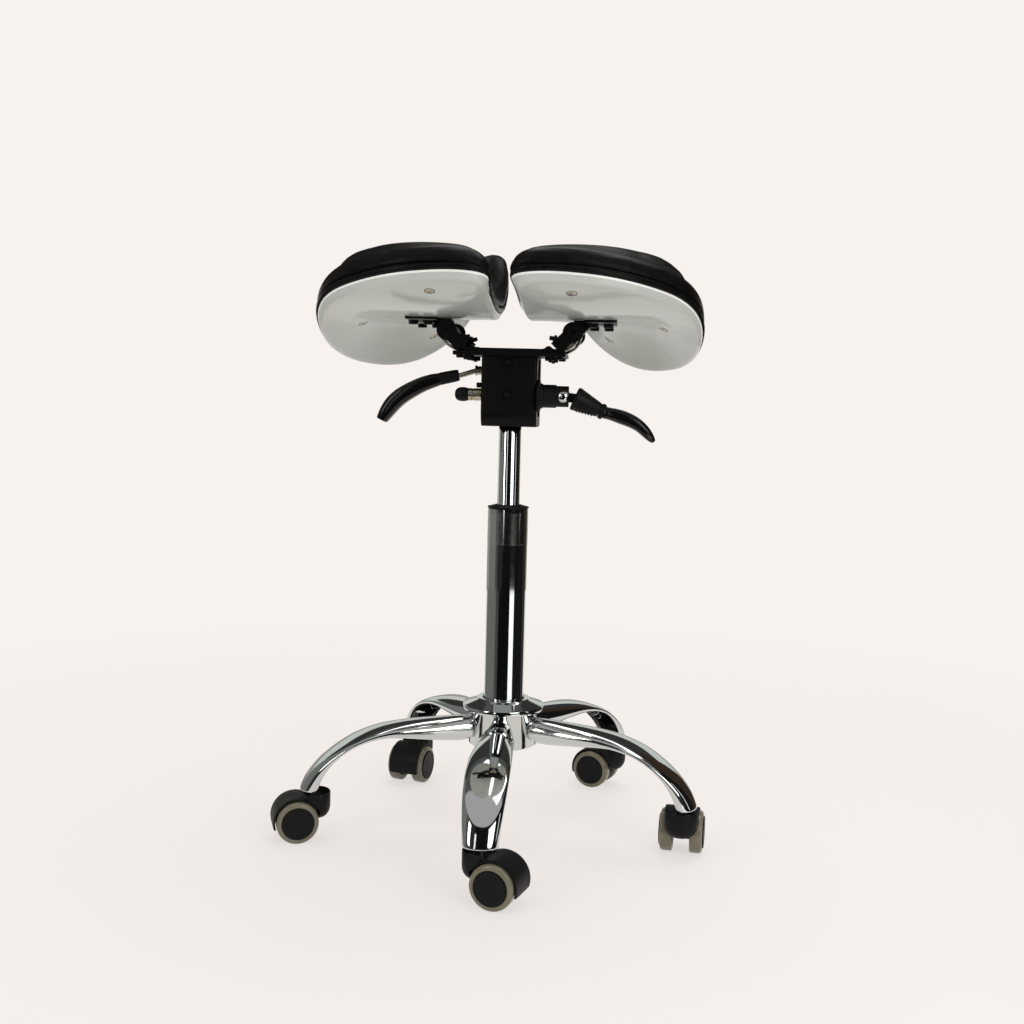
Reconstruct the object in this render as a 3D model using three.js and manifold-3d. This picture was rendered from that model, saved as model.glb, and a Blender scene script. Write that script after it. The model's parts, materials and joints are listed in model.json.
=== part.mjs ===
// Saddle stool on a five-legged base with twin-wheel casters and a gas column.
// Millimetres, +Z up. The seat's rear faces -Y and one leg of the base points to -Y.
import * as THREE from 'three';
import { mergeVertices } from 'three/addons/utils/BufferGeometryUtils.js';
import Module from 'manifold-3d';

const wasm = await Module();
wasm.setup();

// Shared gaps and counts
const gap = 0.3;            // between pieces that touch
const overrun = 6;          // by which a cutting tool passes the faces that it cuts
const roundSides = 24;
const smallSides = 12;
const wheelSides = 20;
const hubSides = 32;
const barSides = 12;
const gripSides = 16;
const legSquareness = 0.8;   // 1 is an ellipse, less is squarer
const gripSquareness = 0.85;
const degree = Math.PI / 180;

// Casters
const wheelRadius = 25.6;
const wheelWidth = 17;
const wheelSpacing = 21;    // between the two inner faces
const wheelCrown = 2.5;     // how far the tread's shoulder is rounded
const wheelRecess = 1.5;    // how far the wheel's disc lies behind the tread's shoulder
const wheelDiscRadius = 19.5;
const wheelSkin = 4;        // left between the axle's end and the disc's face
const axleRadius = 3;
const casterTrail = 22.5;
const casterHeight = 58;    // floor to the shoulder of the stem
const hoodWidth = 42;
const hoodWall = 3;
const hoodBossRadius = 15.5;
const hoodBossChamfer = 4;    // at the boss's crosswise edges
const hoodCornerChamfer = 6;  // at its upright edges
const hoodMouthAngle = 8;   // degrees above the axle, at the hood's open end
const hoodTongueHeight = 28; // floor to the boss's lower face
const hoodWebRadius = 10;    // round the axle, between the wheels
const hoodWebAngle = 200;    // degrees, where the web meets the boss
const stemRadius = 5.5;
const stemLength = 20;      // above the shoulder
const stemSeat = 20;        // below the shoulder, inside the hood
const casterTurns = [-17, 83, 158, 255, 201];  // heading of each trail, degrees

// Base
const legCount = 5;
const baseRadius = 236;     // column axis to each stem
const legRise = 77;        // stem shoulder to the leg's highest centre line
const legWidth = 48;
const legDepth = 24;
const hubRadius = 43;
const hubDrop = 25;         // hub's underside below the legs' highest centre line
const hubBottom = casterHeight + legRise - hubDrop;
const hubHeight = 50;
const hubFlangeRadius = 51;
const hubFlangeDepth = 6;
const hubCollarHeight = 9;
const hubCollarWall = 5;

// Gas column
const tubeRadius = 25;
const tubeWall = 2.5;
const tubeFloor = 9;
const tubeFootDepth = 4;    // how far the tube's foot stays above the hub's underside
const tubeLength = 295;
const tubeBottom = hubBottom + tubeFootDepth;
const tubeTop = tubeBottom + tubeLength;
const bushFlange = 4.5;
const bushLength = 26;
const bushLip = 0.6;        // how far the bush's flange stands proud of the tube
const cylinderRadius = 14;
const cylinderNeckRadius = 13;
const cylinderReach = 158;  // below the guide bush at rest
const cylinderWall = 3.5;
const cylinderGland = 12;
const cylinderCrown = 40;   // solid metal above the bore
const rodRadius = 5;
const rodCollarRadius = 11;
const rodCollarDepth = 4;
const pistonDepth = 12;
const bearingRadius = 19;
const bearingDepth = 6;
const pinRadius = 4;
const pinSeat = 5;          // how deep the release pin stands in the cylinder's crown
const pinTravel = 4;

// Tilt mechanism
const columnLift = 102;     // tube's top to the housing's lower edge, at rest
const housingBottom = tubeTop + columnLift;
const housingHeight = 85;
const housingWidth = 68;
const housingDepth = 69;
const housingWall = 2.5;
const housingBend = 24;     // radius of the bent lower edge at the rear
const housingBendAngle = 50;
const housingReturn = 22;   // side wall left standing behind the window
const windowInset = 12;
const shaftRadius = 4;
const shaftBack = 24;       // shaft axis behind the column axis
const shaftRise = 38;       // shaft axis above the housing's lower edge
const shaftHeight = housingBottom + shaftRise;
const socketRadius = 18.5;
const socketFoot = 4;       // socket's lower face above the housing's lower edge
const socketCrown = 7;      // socket's top above the shaft axis
const socketTop = shaftHeight + socketCrown;
const lugRadius = 7.4;
const lugLength = 44;
const nutLength = 16;
const nutRadius = 8;
const capLength = 16;
const capRadius = 8;
const sleeveLength = 38;
const sleeveRadius = 14;
const sleeveFlangeRadius = 20.5;
const sleeveFlangeDepth = 4;
const clevisDepth = 15;
const clevisGap = 11;
const clampPinRadius = 5;
const clampPinInset = 6;    // pin axis behind the sleeve's open end
const clampPinHead = 6.5;
const clampPinHeadDepth = 1.5;

// Levers
const leverRise = 22;       // lever axis above the socket's top
const leverAxisHeight = socketTop + leverRise;
const leverRodRadius = 3.2;
const fulcrumOffset = 20;   // lever's pivot beside the column axis
const fulcrumPinRadius = 2.4;
const earWall = 3;
const earRadius = 6;
const heightLeverReach = 168;
const heightLeverDrop = 66;
const heightGripWidth = 24;
const heightGripDepth = 20;
const rodBendReach = 47.5;  // column axis to the rod's bend
const rodBendHalf = 5;
const clampLeverReach = 110;
const clampLeverDrop = 51;
const clampLeverWidth = 24;
const clampBootDepth = 29;

// Seat carrier
const plateWidth = 136;
const plateDepth = 90;
const plateThickness = 5;
const armWidth = 80;
const armThickness = 4;
const armFootInner = 38;    // column axis to the strap's inner end
const armFootOuter = 60;    // column axis to the strap's bend
const hingeOffset = 76;     // column axis to each half's hinge
const hingeRise = 24.2;     // hinge axis above the seat plate
const plateBottom = housingBottom + housingHeight + gap;
const plateTop = plateBottom + plateThickness;
const hingeHeight = plateTop + hingeRise;
const hingeRadius = 8;
const hingeBoltRadius = 4;
const hingeBoltHeadRadius = 6.2;
const hingeBoltHeadDepth = 3;
const knuckleWidth = 28;
const bracketThickness = 2.6;
const bracketLand = 10;     // how far the bracket's web runs under its plate
const bracketInner = 90;
const bracketOuter = 128;

// Seat halves
const seatRimReach = 228;   // symmetry plane to the rim's outermost point
const seatHalfLength = 200;
const seatRimRise = 100;    // unit of the rim's rise and droop
const seatRise = 23.8;      // hinge axis to the middle of the pan's rim surface
const seatHeight = hingeHeight + seatRise;
const seatCentreX = 118;
const seatCentreY = -5;
const seatFlatShare = 0.3;  // middle part of the surface that stays flat
const panDishShare = 0.9;   // outermost ring of the pan's smooth underside
const panDepth = 8;
const panFloor = 3.8;
const layerGap = 0.5;       // upright, between pan, board and cushion
const panBevel = 5;
const panLand = 9;          // width of the rim that the board rests on
const boardDepth = 7.2;
const boardProud = 3;       // how far the wrapped edge stands out from the pan
const cushionHeight = 39;
const cushionBulge = 4.5;
const pommelFill = 46;      // extra filling towards the front inner corner
const seatSides = 34;

// Geometry tools
function closed(geometry) {
  const bare = geometry.index ? geometry : geometry.clone();
  bare.deleteAttribute('normal');
  bare.deleteAttribute('uv');
  const merged = mergeVertices(bare);
  const p = merged.getAttribute('position');
  const index = merged.index.array;
  let volume = 0;
  const a = new THREE.Vector3();
  const b = new THREE.Vector3();
  const c = new THREE.Vector3();
  for (let i = 0; i < index.length; i += 3) {
    a.fromBufferAttribute(p, index[i]);
    b.fromBufferAttribute(p, index[i + 1]);
    c.fromBufferAttribute(p, index[i + 2]);
    volume += a.dot(b.cross(c));
  }
  if (volume < 0) {
    for (let i = 0; i < index.length; i += 3) {
      [index[i], index[i + 1]] = [index[i + 1], index[i]];
    }
  }
  return merged;
}

function solid(geometry) {
  const g = closed(geometry);
  const mesh = new wasm.Mesh({
    numProp: 3,
    vertProperties: new Float32Array(g.getAttribute('position').array),
    triVerts: new Uint32Array(g.index.array),
  });
  return new wasm.Manifold(mesh);
}

function geometryOf(manifold) {
  const mesh = manifold.getMesh();
  const g = new THREE.BufferGeometry();
  g.setAttribute('position', new THREE.BufferAttribute(mesh.vertProperties, 3));
  g.setIndex(new THREE.BufferAttribute(mesh.triVerts, 1));
  return g;
}

function cut(body, ...tools) {
  return geometryOf(tools.reduce((rest, tool) => rest.subtract(solid(tool)), solid(body)));
}

function join(first, ...others) {
  return geometryOf(others.reduce((sum, other) => sum.add(solid(other)), solid(first)));
}

// A solid of revolution about +Z. The profile is a list of [radius, height].
function turned(profile, sides = roundSides) {
  const points = profile.map(([r, z]) => new THREE.Vector2(r, z));
  return closed(new THREE.LatheGeometry(points, sides).rotateX(Math.PI / 2));
}

function rodAlong(axis, radius, from, to, sides = smallSides) {
  const g = new THREE.CylinderGeometry(radius, radius, to - from, sides);
  g.translate(0, (from + to) / 2, 0);
  if (axis === 'z') g.rotateX(Math.PI / 2);
  if (axis === 'x') g.rotateZ(-Math.PI / 2);
  return g;
}

function block(low, high) {
  const size = new THREE.Vector3().subVectors(high, low);
  const middle = new THREE.Vector3().addVectors(low, high).multiplyScalar(1 / 2);
  return new THREE.BoxGeometry(size.x, size.y, size.z).translate(middle.x, middle.y, middle.z);
}

// Extrudes an outline drawn in the XZ plane along Y, from y = from to y = to.
function extrudedAlongY(outline, from, to) {
  const shape = new THREE.Shape(outline.map(([x, z]) => new THREE.Vector2(x, z)));
  const g = new THREE.ExtrudeGeometry(shape, { depth: to - from, bevelEnabled: false });
  return g.rotateX(Math.PI / 2).translate(0, to, 0);
}

// Extrudes an outline drawn in the YZ plane along X.
function extrudedAlongX(outline, from, to) {
  const shape = new THREE.Shape(outline.map(([y, z]) => new THREE.Vector2(y, z)));
  const g = new THREE.ExtrudeGeometry(shape, { depth: to - from, bevelEnabled: false });
  return g.rotateX(Math.PI / 2).rotateZ(Math.PI / 2).translate(from, 0, 0);
}

function arc(centreX, centreY, radius, fromAngle, toAngle, steps) {
  const points = [];
  for (let i = 0; i <= steps; i += 1) {
    const a = (fromAngle + (toAngle - fromAngle) * i / steps) * degree;
    points.push([centreX + radius * Math.cos(a), centreY + radius * Math.sin(a)]);
  }
  return points;
}

// Joins rings of equally many points into one closed body with a cap at each end.
// Each quad is split along its shorter diagonal, so that stacked layers split alike.
function lofted(rings) {
  const count = rings[0].length;
  const positions = [];
  const index = [];
  rings.forEach((ring) => ring.forEach((p) => positions.push(p.x, p.y, p.z)));
  for (let k = 0; k + 1 < rings.length; k += 1) {
    for (let i = 0; i < count; i += 1) {
      const next = (i + 1) % count;
      const a = k * count + i;
      const b = k * count + next;
      const c = a + count;
      const d = b + count;
      const alongB = rings[k][next].distanceTo(rings[k + 1][i]);
      const alongA = rings[k][i].distanceTo(rings[k + 1][next]);
      index.push(...(alongB < alongA ? [a, b, c, b, d, c] : [a, b, d, a, d, c]));
    }
  }
  [[rings[0], 0], [rings[rings.length - 1], (rings.length - 1) * count]].forEach(([ring, start], end) => {
    const middle = ring.reduce((sum, p) => sum.add(p), new THREE.Vector3()).divideScalar(count);
    const tip = positions.length / 3;
    positions.push(middle.x, middle.y, middle.z);
    for (let i = 0; i < count; i += 1) {
      const a = start + i;
      const b = start + (i + 1) % count;
      index.push(...(end ? [a, b, tip] : [b, a, tip]));
    }
  });
  const g = new THREE.BufferGeometry();
  g.setAttribute('position', new THREE.Float32BufferAttribute(positions, 3));
  g.setIndex(index);
  return closed(g);
}

// A rounded section square to a path in the XZ plane: [x, z] centre, the path's slope,
// the half depth across the path and the half width along Y.
function sectionAt([x, z], slope, halfDepth, halfWidth, y, sides, squareness) {
  const ring = [];
  for (let i = 0; i < sides; i += 1) {
    const a = 2 * Math.PI * i / sides;
    const c = Math.sign(Math.cos(a)) * Math.abs(Math.cos(a)) ** squareness;
    const s = Math.sign(Math.sin(a)) * Math.abs(Math.sin(a)) ** squareness;
    const across = halfDepth * s;
    ring.push(new THREE.Vector3(x - Math.sin(slope) * across, y + halfWidth * c, z + Math.cos(slope) * across));
  }
  return ring;
}

// A bar along a path in the XZ plane. Each stop is [x, z, depth, width].
function barAlong(stops, y, sides, squareness) {
  const rings = stops.map(([x, z, depth, width], i) => {
    const before = stops[Math.max(i - 1, 0)];
    const after = stops[Math.min(i + 1, stops.length - 1)];
    const slope = Math.atan2(after[1] - before[1], after[0] - before[0]);
    return sectionAt([x, z], slope, depth / 2, width / 2, y, sides, squareness);
  });
  return lofted(rings);
}

// Materials
function finish(colour, roughness, metalness) {
  return new THREE.MeshStandardMaterial({ color: colour, roughness, metalness });
}
const chrome = finish('#d9dadb', 0.08, 1);
const zinc = finish('#c9c6b8', 0.3, 1);
const steel = finish('#a9aaac', 0.35, 1);
const blackPaint = finish('#17181a', 0.45, 0);
const blackPlastic = finish('#1c1d1f', 0.5, 0);
const treadRubber = finish('#78705f', 0.4, 0);
const whitePan = finish('#e6eae8', 0.12, 0);
const blackLeather = finish('#151516', 0.42, 0);

const stool = new THREE.Group();
function place(name, geometry, material, parent = stool) {
  const mesh = new THREE.Mesh(geometry, material);
  mesh.name = name;
  parent.add(mesh);
  return mesh;
}

// Casters: a hood, a stem, an axle and two wheels, drawn about the stem and trailing to +X
function casterHood() {
  const cowlRadius = wheelRadius + gap + hoodWall;
  const wellRadius = wheelRadius + gap + gap;
  const web = wheelSpacing / 2 - gap;
  const bossTop = casterHeight - gap;
  const outline = [
    ...arc(casterTrail, wheelRadius, cowlRadius, hoodMouthAngle, 90, 6),
    [hoodBossRadius, bossTop],
    [-hoodBossRadius + hoodBossChamfer, bossTop],
    [-hoodBossRadius, bossTop - hoodBossChamfer],
    [-hoodBossRadius, hoodTongueHeight + hoodBossChamfer],
    [-hoodBossRadius + hoodBossChamfer, hoodTongueHeight],
    ...arc(casterTrail, wheelRadius, hoodWebRadius, hoodWebAngle, 360, 6),
  ];
  const shell = extrudedAlongY(outline, -hoodWidth / 2, hoodWidth / 2);
  const wells = [1, -1].map((side) => {
    const near = side * web;
    const far = side * (hoodWidth / 2 + overrun);
    return rodAlong('y', wellRadius, Math.min(near, far), Math.max(near, far), roundSides)
      .translate(casterTrail, 0, wheelRadius);
  });
  const stemHole = rodAlong('z', stemRadius + gap, casterHeight - stemSeat - gap, casterHeight + overrun);
  const axleHole = rodAlong('y', axleRadius + gap, -hoodWidth, hoodWidth).translate(casterTrail, 0, wheelRadius);
  const corners = [1, -1].map((side) => block(
    new THREE.Vector3(-hoodWidth, -hoodWidth, 0),
    new THREE.Vector3(hoodCornerChamfer * Math.SQRT1_2, hoodWidth, casterHeight),
  ).rotateZ(-side * Math.PI / 4).translate(-hoodBossRadius, side * hoodWidth / 2, 0));
  return cut(shell, ...wells, stemHole, axleHole, ...corners);
}

function wheel() {
  const inner = 0;
  const outer = wheelWidth;
  const shoulder = wheelRadius - wheelCrown;
  const profile = [
    [0, outer - wheelRecess],
    [wheelDiscRadius - wheelRecess, outer - wheelRecess],
    [wheelDiscRadius, outer],
    [shoulder, outer],
    [wheelRadius, outer - wheelCrown],
    [wheelRadius, inner + wheelCrown],
    [shoulder, inner],
    [axleRadius + gap, inner],
    [axleRadius + gap, outer - wheelSkin],
    [0, outer - wheelSkin],
  ];
  return turned(profile, wheelSides);
}

function stem() {
  return turned([
    [0, casterHeight - stemSeat],
    [stemRadius, casterHeight - stemSeat],
    [stemRadius, casterHeight + stemLength],
    [0, casterHeight + stemLength],
  ], smallSides);
}

function axle() {
  const half = wheelSpacing / 2 + wheelWidth - wheelSkin - gap;
  return rodAlong('y', axleRadius, -half, half);
}

// Base: a hub, five legs with a socket for the stem, and a caster at each leg's end
const legShares = [
  // radius and height along the leg, depth and width of its section
  [0.169, 0.945, 1.358, 0.719],
  [0.258, 0.947, 1.333, 0.781],
  [0.343, 0.949, 1.225, 0.917],
  [0.424, 0.955, 1.108, 0.969],
  [0.508, 0.960, 0.950, 1.008],
  [0.585, 0.958, 0.775, 1.037],
  [0.657, 0.935, 0.650, 1.054],
  [0.729, 0.883, 0.525, 1.071],
  [0.797, 0.805, 0.450, 1.067],
  [0.856, 0.699, 0.450, 1.046],
  [0.907, 0.579, 0.542, 1.012],
  [0.949, 0.457, 0.683, 0.967],
  [0.981, 0.325, 0.833, 0.912],
  [1.004, 0.195, 0.958, 0.871],
  [1.021, 0.052, 1.083, 0.842],
  [1.034, -0.143, 1.167, 0.812],
];

function leg() {
  const stops = legShares.map(([r, z, depth, width]) => [
    r * baseRadius, casterHeight + z * legRise, depth * legDepth, width * legWidth,
  ]);
  const bar = barAlong(stops, 0, barSides, legSquareness);
  const hubRoom = rodAlong('z', hubRadius + gap, 0, hubBottom + hubHeight + overrun, hubSides);
  const socket = rodAlong('z', stemRadius + gap, 0, casterHeight + stemLength + gap)
    .translate(baseRadius, 0, 0);
  const floorRoom = block(
    new THREE.Vector3(baseRadius - legWidth, -legWidth, 0),
    new THREE.Vector3(baseRadius + legWidth, legWidth, casterHeight + gap),
  );
  const flangeRoom = rodAlong('z', hubFlangeRadius + gap, hubBottom + hubHeight - hubFlangeDepth - gap,
    hubBottom + hubHeight + overrun, hubSides);
  return cut(bar, hubRoom, flangeRoom, socket, floorRoom);
}

function hub() {
  const top = hubBottom + hubHeight;
  const bore = tubeRadius + gap;
  const collarTop = top + hubCollarHeight;
  return turned([
    [bore, hubBottom],
    [hubRadius - hubFlangeDepth, hubBottom],
    [hubRadius, hubBottom + hubFlangeDepth],
    [hubRadius, top - hubFlangeDepth],
    [hubFlangeRadius, top - hubFlangeDepth],
    [hubFlangeRadius, top],
    [bore + hubCollarWall, collarTop],
    [bore, collarTop],
    [bore, hubBottom],
  ], hubSides);
}

function buildBase() {
  place('base_hub', hub(), chrome);
  for (let k = 0; k < legCount; k += 1) {
    const turn = -90 + k * 360 / legCount;
    const arm = new THREE.Group();
    arm.rotation.z = turn * degree;
    stool.add(arm);
    place(`leg_${k + 1}`, leg(), chrome, arm);
    const caster = new THREE.Group();
    caster.position.set(baseRadius * Math.cos(turn * degree), baseRadius * Math.sin(turn * degree), 0);
    caster.rotation.z = casterTurns[k] * degree;
    stool.add(caster);
    place(`caster_hood_${k + 1}`, casterHood(), blackPlastic, caster);
    place(`caster_stem_${k + 1}`, stem(), steel, caster);
    place(`caster_axle_${k + 1}`, axle(), steel, caster).position.set(casterTrail, 0, wheelRadius);
    [['a', 1], ['b', -1]].forEach(([letter, side]) => {
      const mesh = place(`caster_wheel_${k + 1}${letter}`, wheel(), treadRubber, caster);
      mesh.position.set(casterTrail, side * wheelSpacing / 2, wheelRadius);
      mesh.rotation.x = -side * Math.PI / 2;
    });
  }
}

// Column: a fixed tube with a guide bush, a rod on a thrust bearing, and a cylinder on the rod
const bearingBottom = tubeBottom + tubeFloor + gap;
const bearingTop = bearingBottom + bearingDepth;
const bushTop = tubeTop + gap + bushFlange;
const cylinderBottom = bushTop - cylinderReach;
const cylinderTop = shaftHeight - shaftRadius;
const boreTop = cylinderTop - cylinderCrown;
const pinBottom = cylinderTop - pinSeat;
const pinTop = leverAxisHeight - leverRodRadius - gap;

function buildColumn() {
  const inside = tubeRadius - tubeWall;
  place('column_tube', turned([
    [rodRadius + gap, tubeBottom],
    [tubeRadius, tubeBottom],
    [tubeRadius, tubeTop],
    [inside, tubeTop],
    [inside, tubeBottom + tubeFloor],
    [rodRadius + gap, tubeBottom + tubeFloor],
    [rodRadius + gap, tubeBottom],
  ]), chrome);
  place('column_guide_bush', turned([
    [cylinderRadius + gap, tubeTop - bushLength],
    [inside - gap, tubeTop - bushLength],
    [inside - gap, tubeTop + gap],
    [tubeRadius + bushLip, tubeTop + gap],
    [tubeRadius + bushLip, bushTop - bushLip],
    [tubeRadius - bushLip, bushTop],
    [cylinderRadius + gap, bushTop],
    [cylinderRadius + gap, tubeTop - bushLength],
  ]), blackPlastic);
  place('thrust_bearing', turned([
    [rodRadius + gap, bearingBottom],
    [bearingRadius, bearingBottom],
    [bearingRadius, bearingTop],
    [rodRadius + gap, bearingTop],
    [rodRadius + gap, bearingBottom],
  ]), steel);
  const collarBottom = bearingTop + gap;
  const pistonTop = tubeTop + gap;
  const pistonRadius = cylinderRadius - cylinderWall - gap;
  place('piston_rod', turned([
    [0, tubeBottom],
    [rodRadius, tubeBottom],
    [rodRadius, collarBottom],
    [rodCollarRadius, collarBottom],
    [rodCollarRadius, collarBottom + rodCollarDepth],
    [rodRadius, collarBottom + rodCollarDepth],
    [rodRadius, pistonTop - pistonDepth],
    [pistonRadius, pistonTop - pistonDepth],
    [pistonRadius, pistonTop],
    [0, pistonTop],
  ]), steel);
  const bore = cylinderRadius - cylinderWall;
  const neckBottom = housingBottom + socketFoot;
  place('gas_cylinder', turned([
    [rodRadius + gap, cylinderBottom],
    [cylinderRadius, cylinderBottom],
    [cylinderRadius, neckBottom],
    [cylinderNeckRadius, neckBottom],
    [cylinderNeckRadius, cylinderTop],
    [pinRadius + gap, cylinderTop],
    [pinRadius + gap, pinBottom - pinTravel],
    [0, pinBottom - pinTravel],
    [0, boreTop],
    [bore, boreTop],
    [bore, cylinderBottom + cylinderGland],
    [rodRadius + gap, cylinderBottom + cylinderGland],
    [rodRadius + gap, cylinderBottom],
  ], roundSides), chrome);
  place('release_pin', rodAlong('z', pinRadius, pinBottom, pinTop), steel);
}

// Tilt mechanism: a socket on the cylinder, a cross shaft with its clamp, and the housing
const housingTop = housingBottom + housingHeight;
const halfHousing = housingWidth / 2;

function socket() {
  const foot = housingBottom + socketFoot + gap;
  const body = rodAlong('z', socketRadius, foot, socketTop, roundSides);
  const lug = rodAlong('x', lugRadius, -lugLength / 2, lugLength / 2, roundSides)
    .translate(0, -shaftBack, shaftHeight);
  const lugRoot = block(
    new THREE.Vector3(-lugLength / 2, -shaftBack, shaftHeight - lugRadius),
    new THREE.Vector3(lugLength / 2, 0, shaftHeight + lugRadius),
  );
  const earInner = leverRodRadius + gap + gap;
  const ears = [earInner, -earInner - earWall].map((y) => block(
    new THREE.Vector3(-fulcrumOffset - earRadius, y, socketTop - earWall),
    new THREE.Vector3(-fulcrumOffset + earRadius, y + earWall, leverAxisHeight + earRadius),
  ));
  const shelf = block(
    new THREE.Vector3(-fulcrumOffset - earRadius, -earInner - earWall, socketTop - 2 * earWall),
    new THREE.Vector3(0, earInner + earWall, socketTop),
  );
  const neck = rodAlong('z', cylinderNeckRadius + gap, foot - overrun, cylinderTop + gap, roundSides);
  const pinHole = rodAlong('z', pinRadius + gap, cylinderTop - overrun, socketTop + overrun);
  const shaftHole = rodAlong('x', shaftRadius + gap, -lugLength, lugLength).translate(0, -shaftBack, shaftHeight);
  const fulcrumHole = rodAlong('y', fulcrumPinRadius + gap, -socketRadius, socketRadius)
    .translate(-fulcrumOffset, 0, leverAxisHeight);
  return cut(join(body, lug, lugRoot, ...ears, shelf), neck, pinHole, shaftHole, fulcrumHole);
}

function housing() {
  const back = -housingDepth / 2;
  const front = housingDepth / 2;
  const bendTop = housingBottom + housingBend * Math.sin(housingBendAngle * degree);
  const outer = [
    [front, housingTop],
    [back, housingTop],
    ...arc(back + housingBend, bendTop, housingBend, 180, 180 + housingBendAngle, 5),
    [front, housingBottom],
  ];
  const innerBend = housingBend - housingWall;
  const inner = [
    [front - housingWall, housingTop - housingWall],
    [back + housingWall, housingTop - housingWall],
    ...arc(back + housingBend, bendTop, innerBend, 180, 180 + housingBendAngle, 5),
    [back + housingBend - innerBend * Math.cos(housingBendAngle * degree), housingBottom - overrun],
    [front - housingWall, housingBottom - overrun],
  ];
  const shell = extrudedAlongX(outer, -halfHousing, halfHousing);
  const room = extrudedAlongX(inner, -halfHousing + housingWall, halfHousing - housingWall);
  const sideWindow = block(
    new THREE.Vector3(-housingWidth, back + housingReturn, housingBottom + windowInset),
    new THREE.Vector3(housingWidth, front - windowInset, housingTop - housingWall - gap),
  );
  const shaftHole = rodAlong('x', shaftRadius + gap, -housingWidth, housingWidth)
    .translate(0, -shaftBack, shaftHeight);
  return cut(shell, room, sideWindow, shaftHole);
}

const capShares = [
  // radius and distance from the closed end, as shares of the cap's radius
  [1, 0.5],
  [0.75, 0.125],
  [0.35, 0],
];

function buildClamp() {
  const nutEnd = halfHousing + gap + nutLength;
  const capEnd = nutEnd + gap + capLength;
  const shaftLeft = capEnd - capRadius;
  const sleeveStart = halfHousing + gap;
  const sleeveEnd = sleeveStart + sleeveLength;
  const shaftRight = sleeveEnd - clevisDepth - gap;
  const pinX = sleeveEnd - clampPinInset;
  const onShaft = new THREE.Group();
  onShaft.position.set(0, -shaftBack, shaftHeight);
  stool.add(onShaft);
  place('tilt_shaft', rodAlong('x', shaftRadius, -shaftLeft, shaftRight), steel, onShaft);
  const nut = rodAlong('x', nutRadius, -nutEnd, -halfHousing - gap, roundSides);
  place('tilt_lock_nut', cut(nut, rodAlong('x', shaftRadius + gap, -nutEnd - overrun, 0)), zinc, onShaft);
  const capInner = shaftRadius + gap;
  const cap = turned([
    [capInner, nutEnd + gap],
    [capRadius, nutEnd + gap],
    ...capShares.map(([out, back]) => [out * capRadius, capEnd - back * capRadius]),
    [0, capEnd],
    [0, shaftLeft + gap],
    [capInner, shaftLeft + gap],
    [capInner, nutEnd + gap],
  ]).rotateY(-Math.PI / 2);
  place('tilt_end_cap', cap, blackPlastic, onShaft);
  const sleeve = turned([
    [shaftRadius + gap, sleeveStart],
    [sleeveFlangeRadius, sleeveStart],
    [sleeveRadius, sleeveStart + sleeveFlangeDepth],
    [sleeveRadius, sleeveEnd],
    [shaftRadius + gap, sleeveEnd],
    [shaftRadius + gap, sleeveStart],
  ]).rotateY(Math.PI / 2);
  const slot = block(
    new THREE.Vector3(sleeveEnd - clevisDepth, -clevisGap / 2, -sleeveRadius - overrun),
    new THREE.Vector3(sleeveEnd + overrun, clevisGap / 2, sleeveRadius + overrun),
  );
  const pinHole = rodAlong('y', clampPinRadius + gap, -sleeveRadius - overrun, sleeveRadius + overrun)
    .translate(pinX, 0, 0);
  place('clamp_sleeve', cut(sleeve, slot, pinHole), blackPlastic, onShaft);
  const pin = turned([
    [0, -sleeveRadius],
    [clampPinRadius, -sleeveRadius],
    [clampPinRadius, sleeveRadius + gap],
    [clampPinHead, sleeveRadius + gap],
    [clampPinHead - clampPinHeadDepth, sleeveRadius + gap + clampPinHeadDepth],
    [0, sleeveRadius + gap + clampPinHeadDepth],
  ], smallSides).rotateX(Math.PI / 2);
  place('clamp_pin', pin, chrome, onShaft).position.set(pinX, 0, 0);
  place('clamp_lever', clampLever(pinX, sleeveEnd), blackPlastic, onShaft);
}

// Clamp lever: an eye on the pin, a conical boot, a neck and a curved paddle
const clampLeverShares = [
  // reach and drop from the pin, depth of the section, width of the section
  [0.115, 0.030, 1.00, 1.20],
  [0.150, 0.065, 1.00, 1.20],
  [0.400, 0.300, 0.60, 0.72],
  [0.425, 0.325, 0.68, 0.78],
  [0.450, 0.350, 0.62, 0.80],
  [0.520, 0.410, 0.44, 0.88],
  [0.640, 0.510, 0.46, 1.00],
  [0.780, 0.640, 0.44, 1.00],
  [0.900, 0.810, 0.38, 0.92],
  [0.975, 0.950, 0.30, 0.72],
  [1.000, 1.000, 0.18, 0.42],
];

const clampRootShares = [0.8, 0.6];  // root below and above the pin, shares of the eye's radius

function clampLever(pinX, sleeveEnd) {
  const stops = clampLeverShares.map(([reach, drop, depth, width]) => [
    pinX + reach * clampLeverReach, -drop * clampLeverDrop,
    depth * clampBootDepth, width * clampLeverWidth,
  ]);
  const paddle = barAlong(stops, 0, gripSides, gripSquareness);
  const tongue = clevisGap / 2 - gap;
  const eyeRadius = clevisDepth - clampPinInset - gap - gap;
  const eye = rodAlong('y', eyeRadius, -tongue, tongue, roundSides).translate(pinX, 0, 0);
  const root = block(
    new THREE.Vector3(pinX, -tongue, -eyeRadius * clampRootShares[0]),
    new THREE.Vector3(stops[1][0] + gap, tongue, eyeRadius * clampRootShares[1]),
  );
  const hole = rodAlong('y', clampPinRadius + gap, -clampLeverWidth, clampLeverWidth).translate(pinX, 0, 0);
  const sleeveRoom = block(
    new THREE.Vector3(0, tongue, -clampBootDepth),
    new THREE.Vector3(sleeveEnd + gap, clampLeverWidth, clampBootDepth),
  );
  const sleeveRoomBelow = sleeveRoom.clone().translate(0, -clampLeverWidth - tongue, 0);
  return cut(join(paddle, eye, root), hole, sleeveRoom, sleeveRoomBelow);
}

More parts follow.
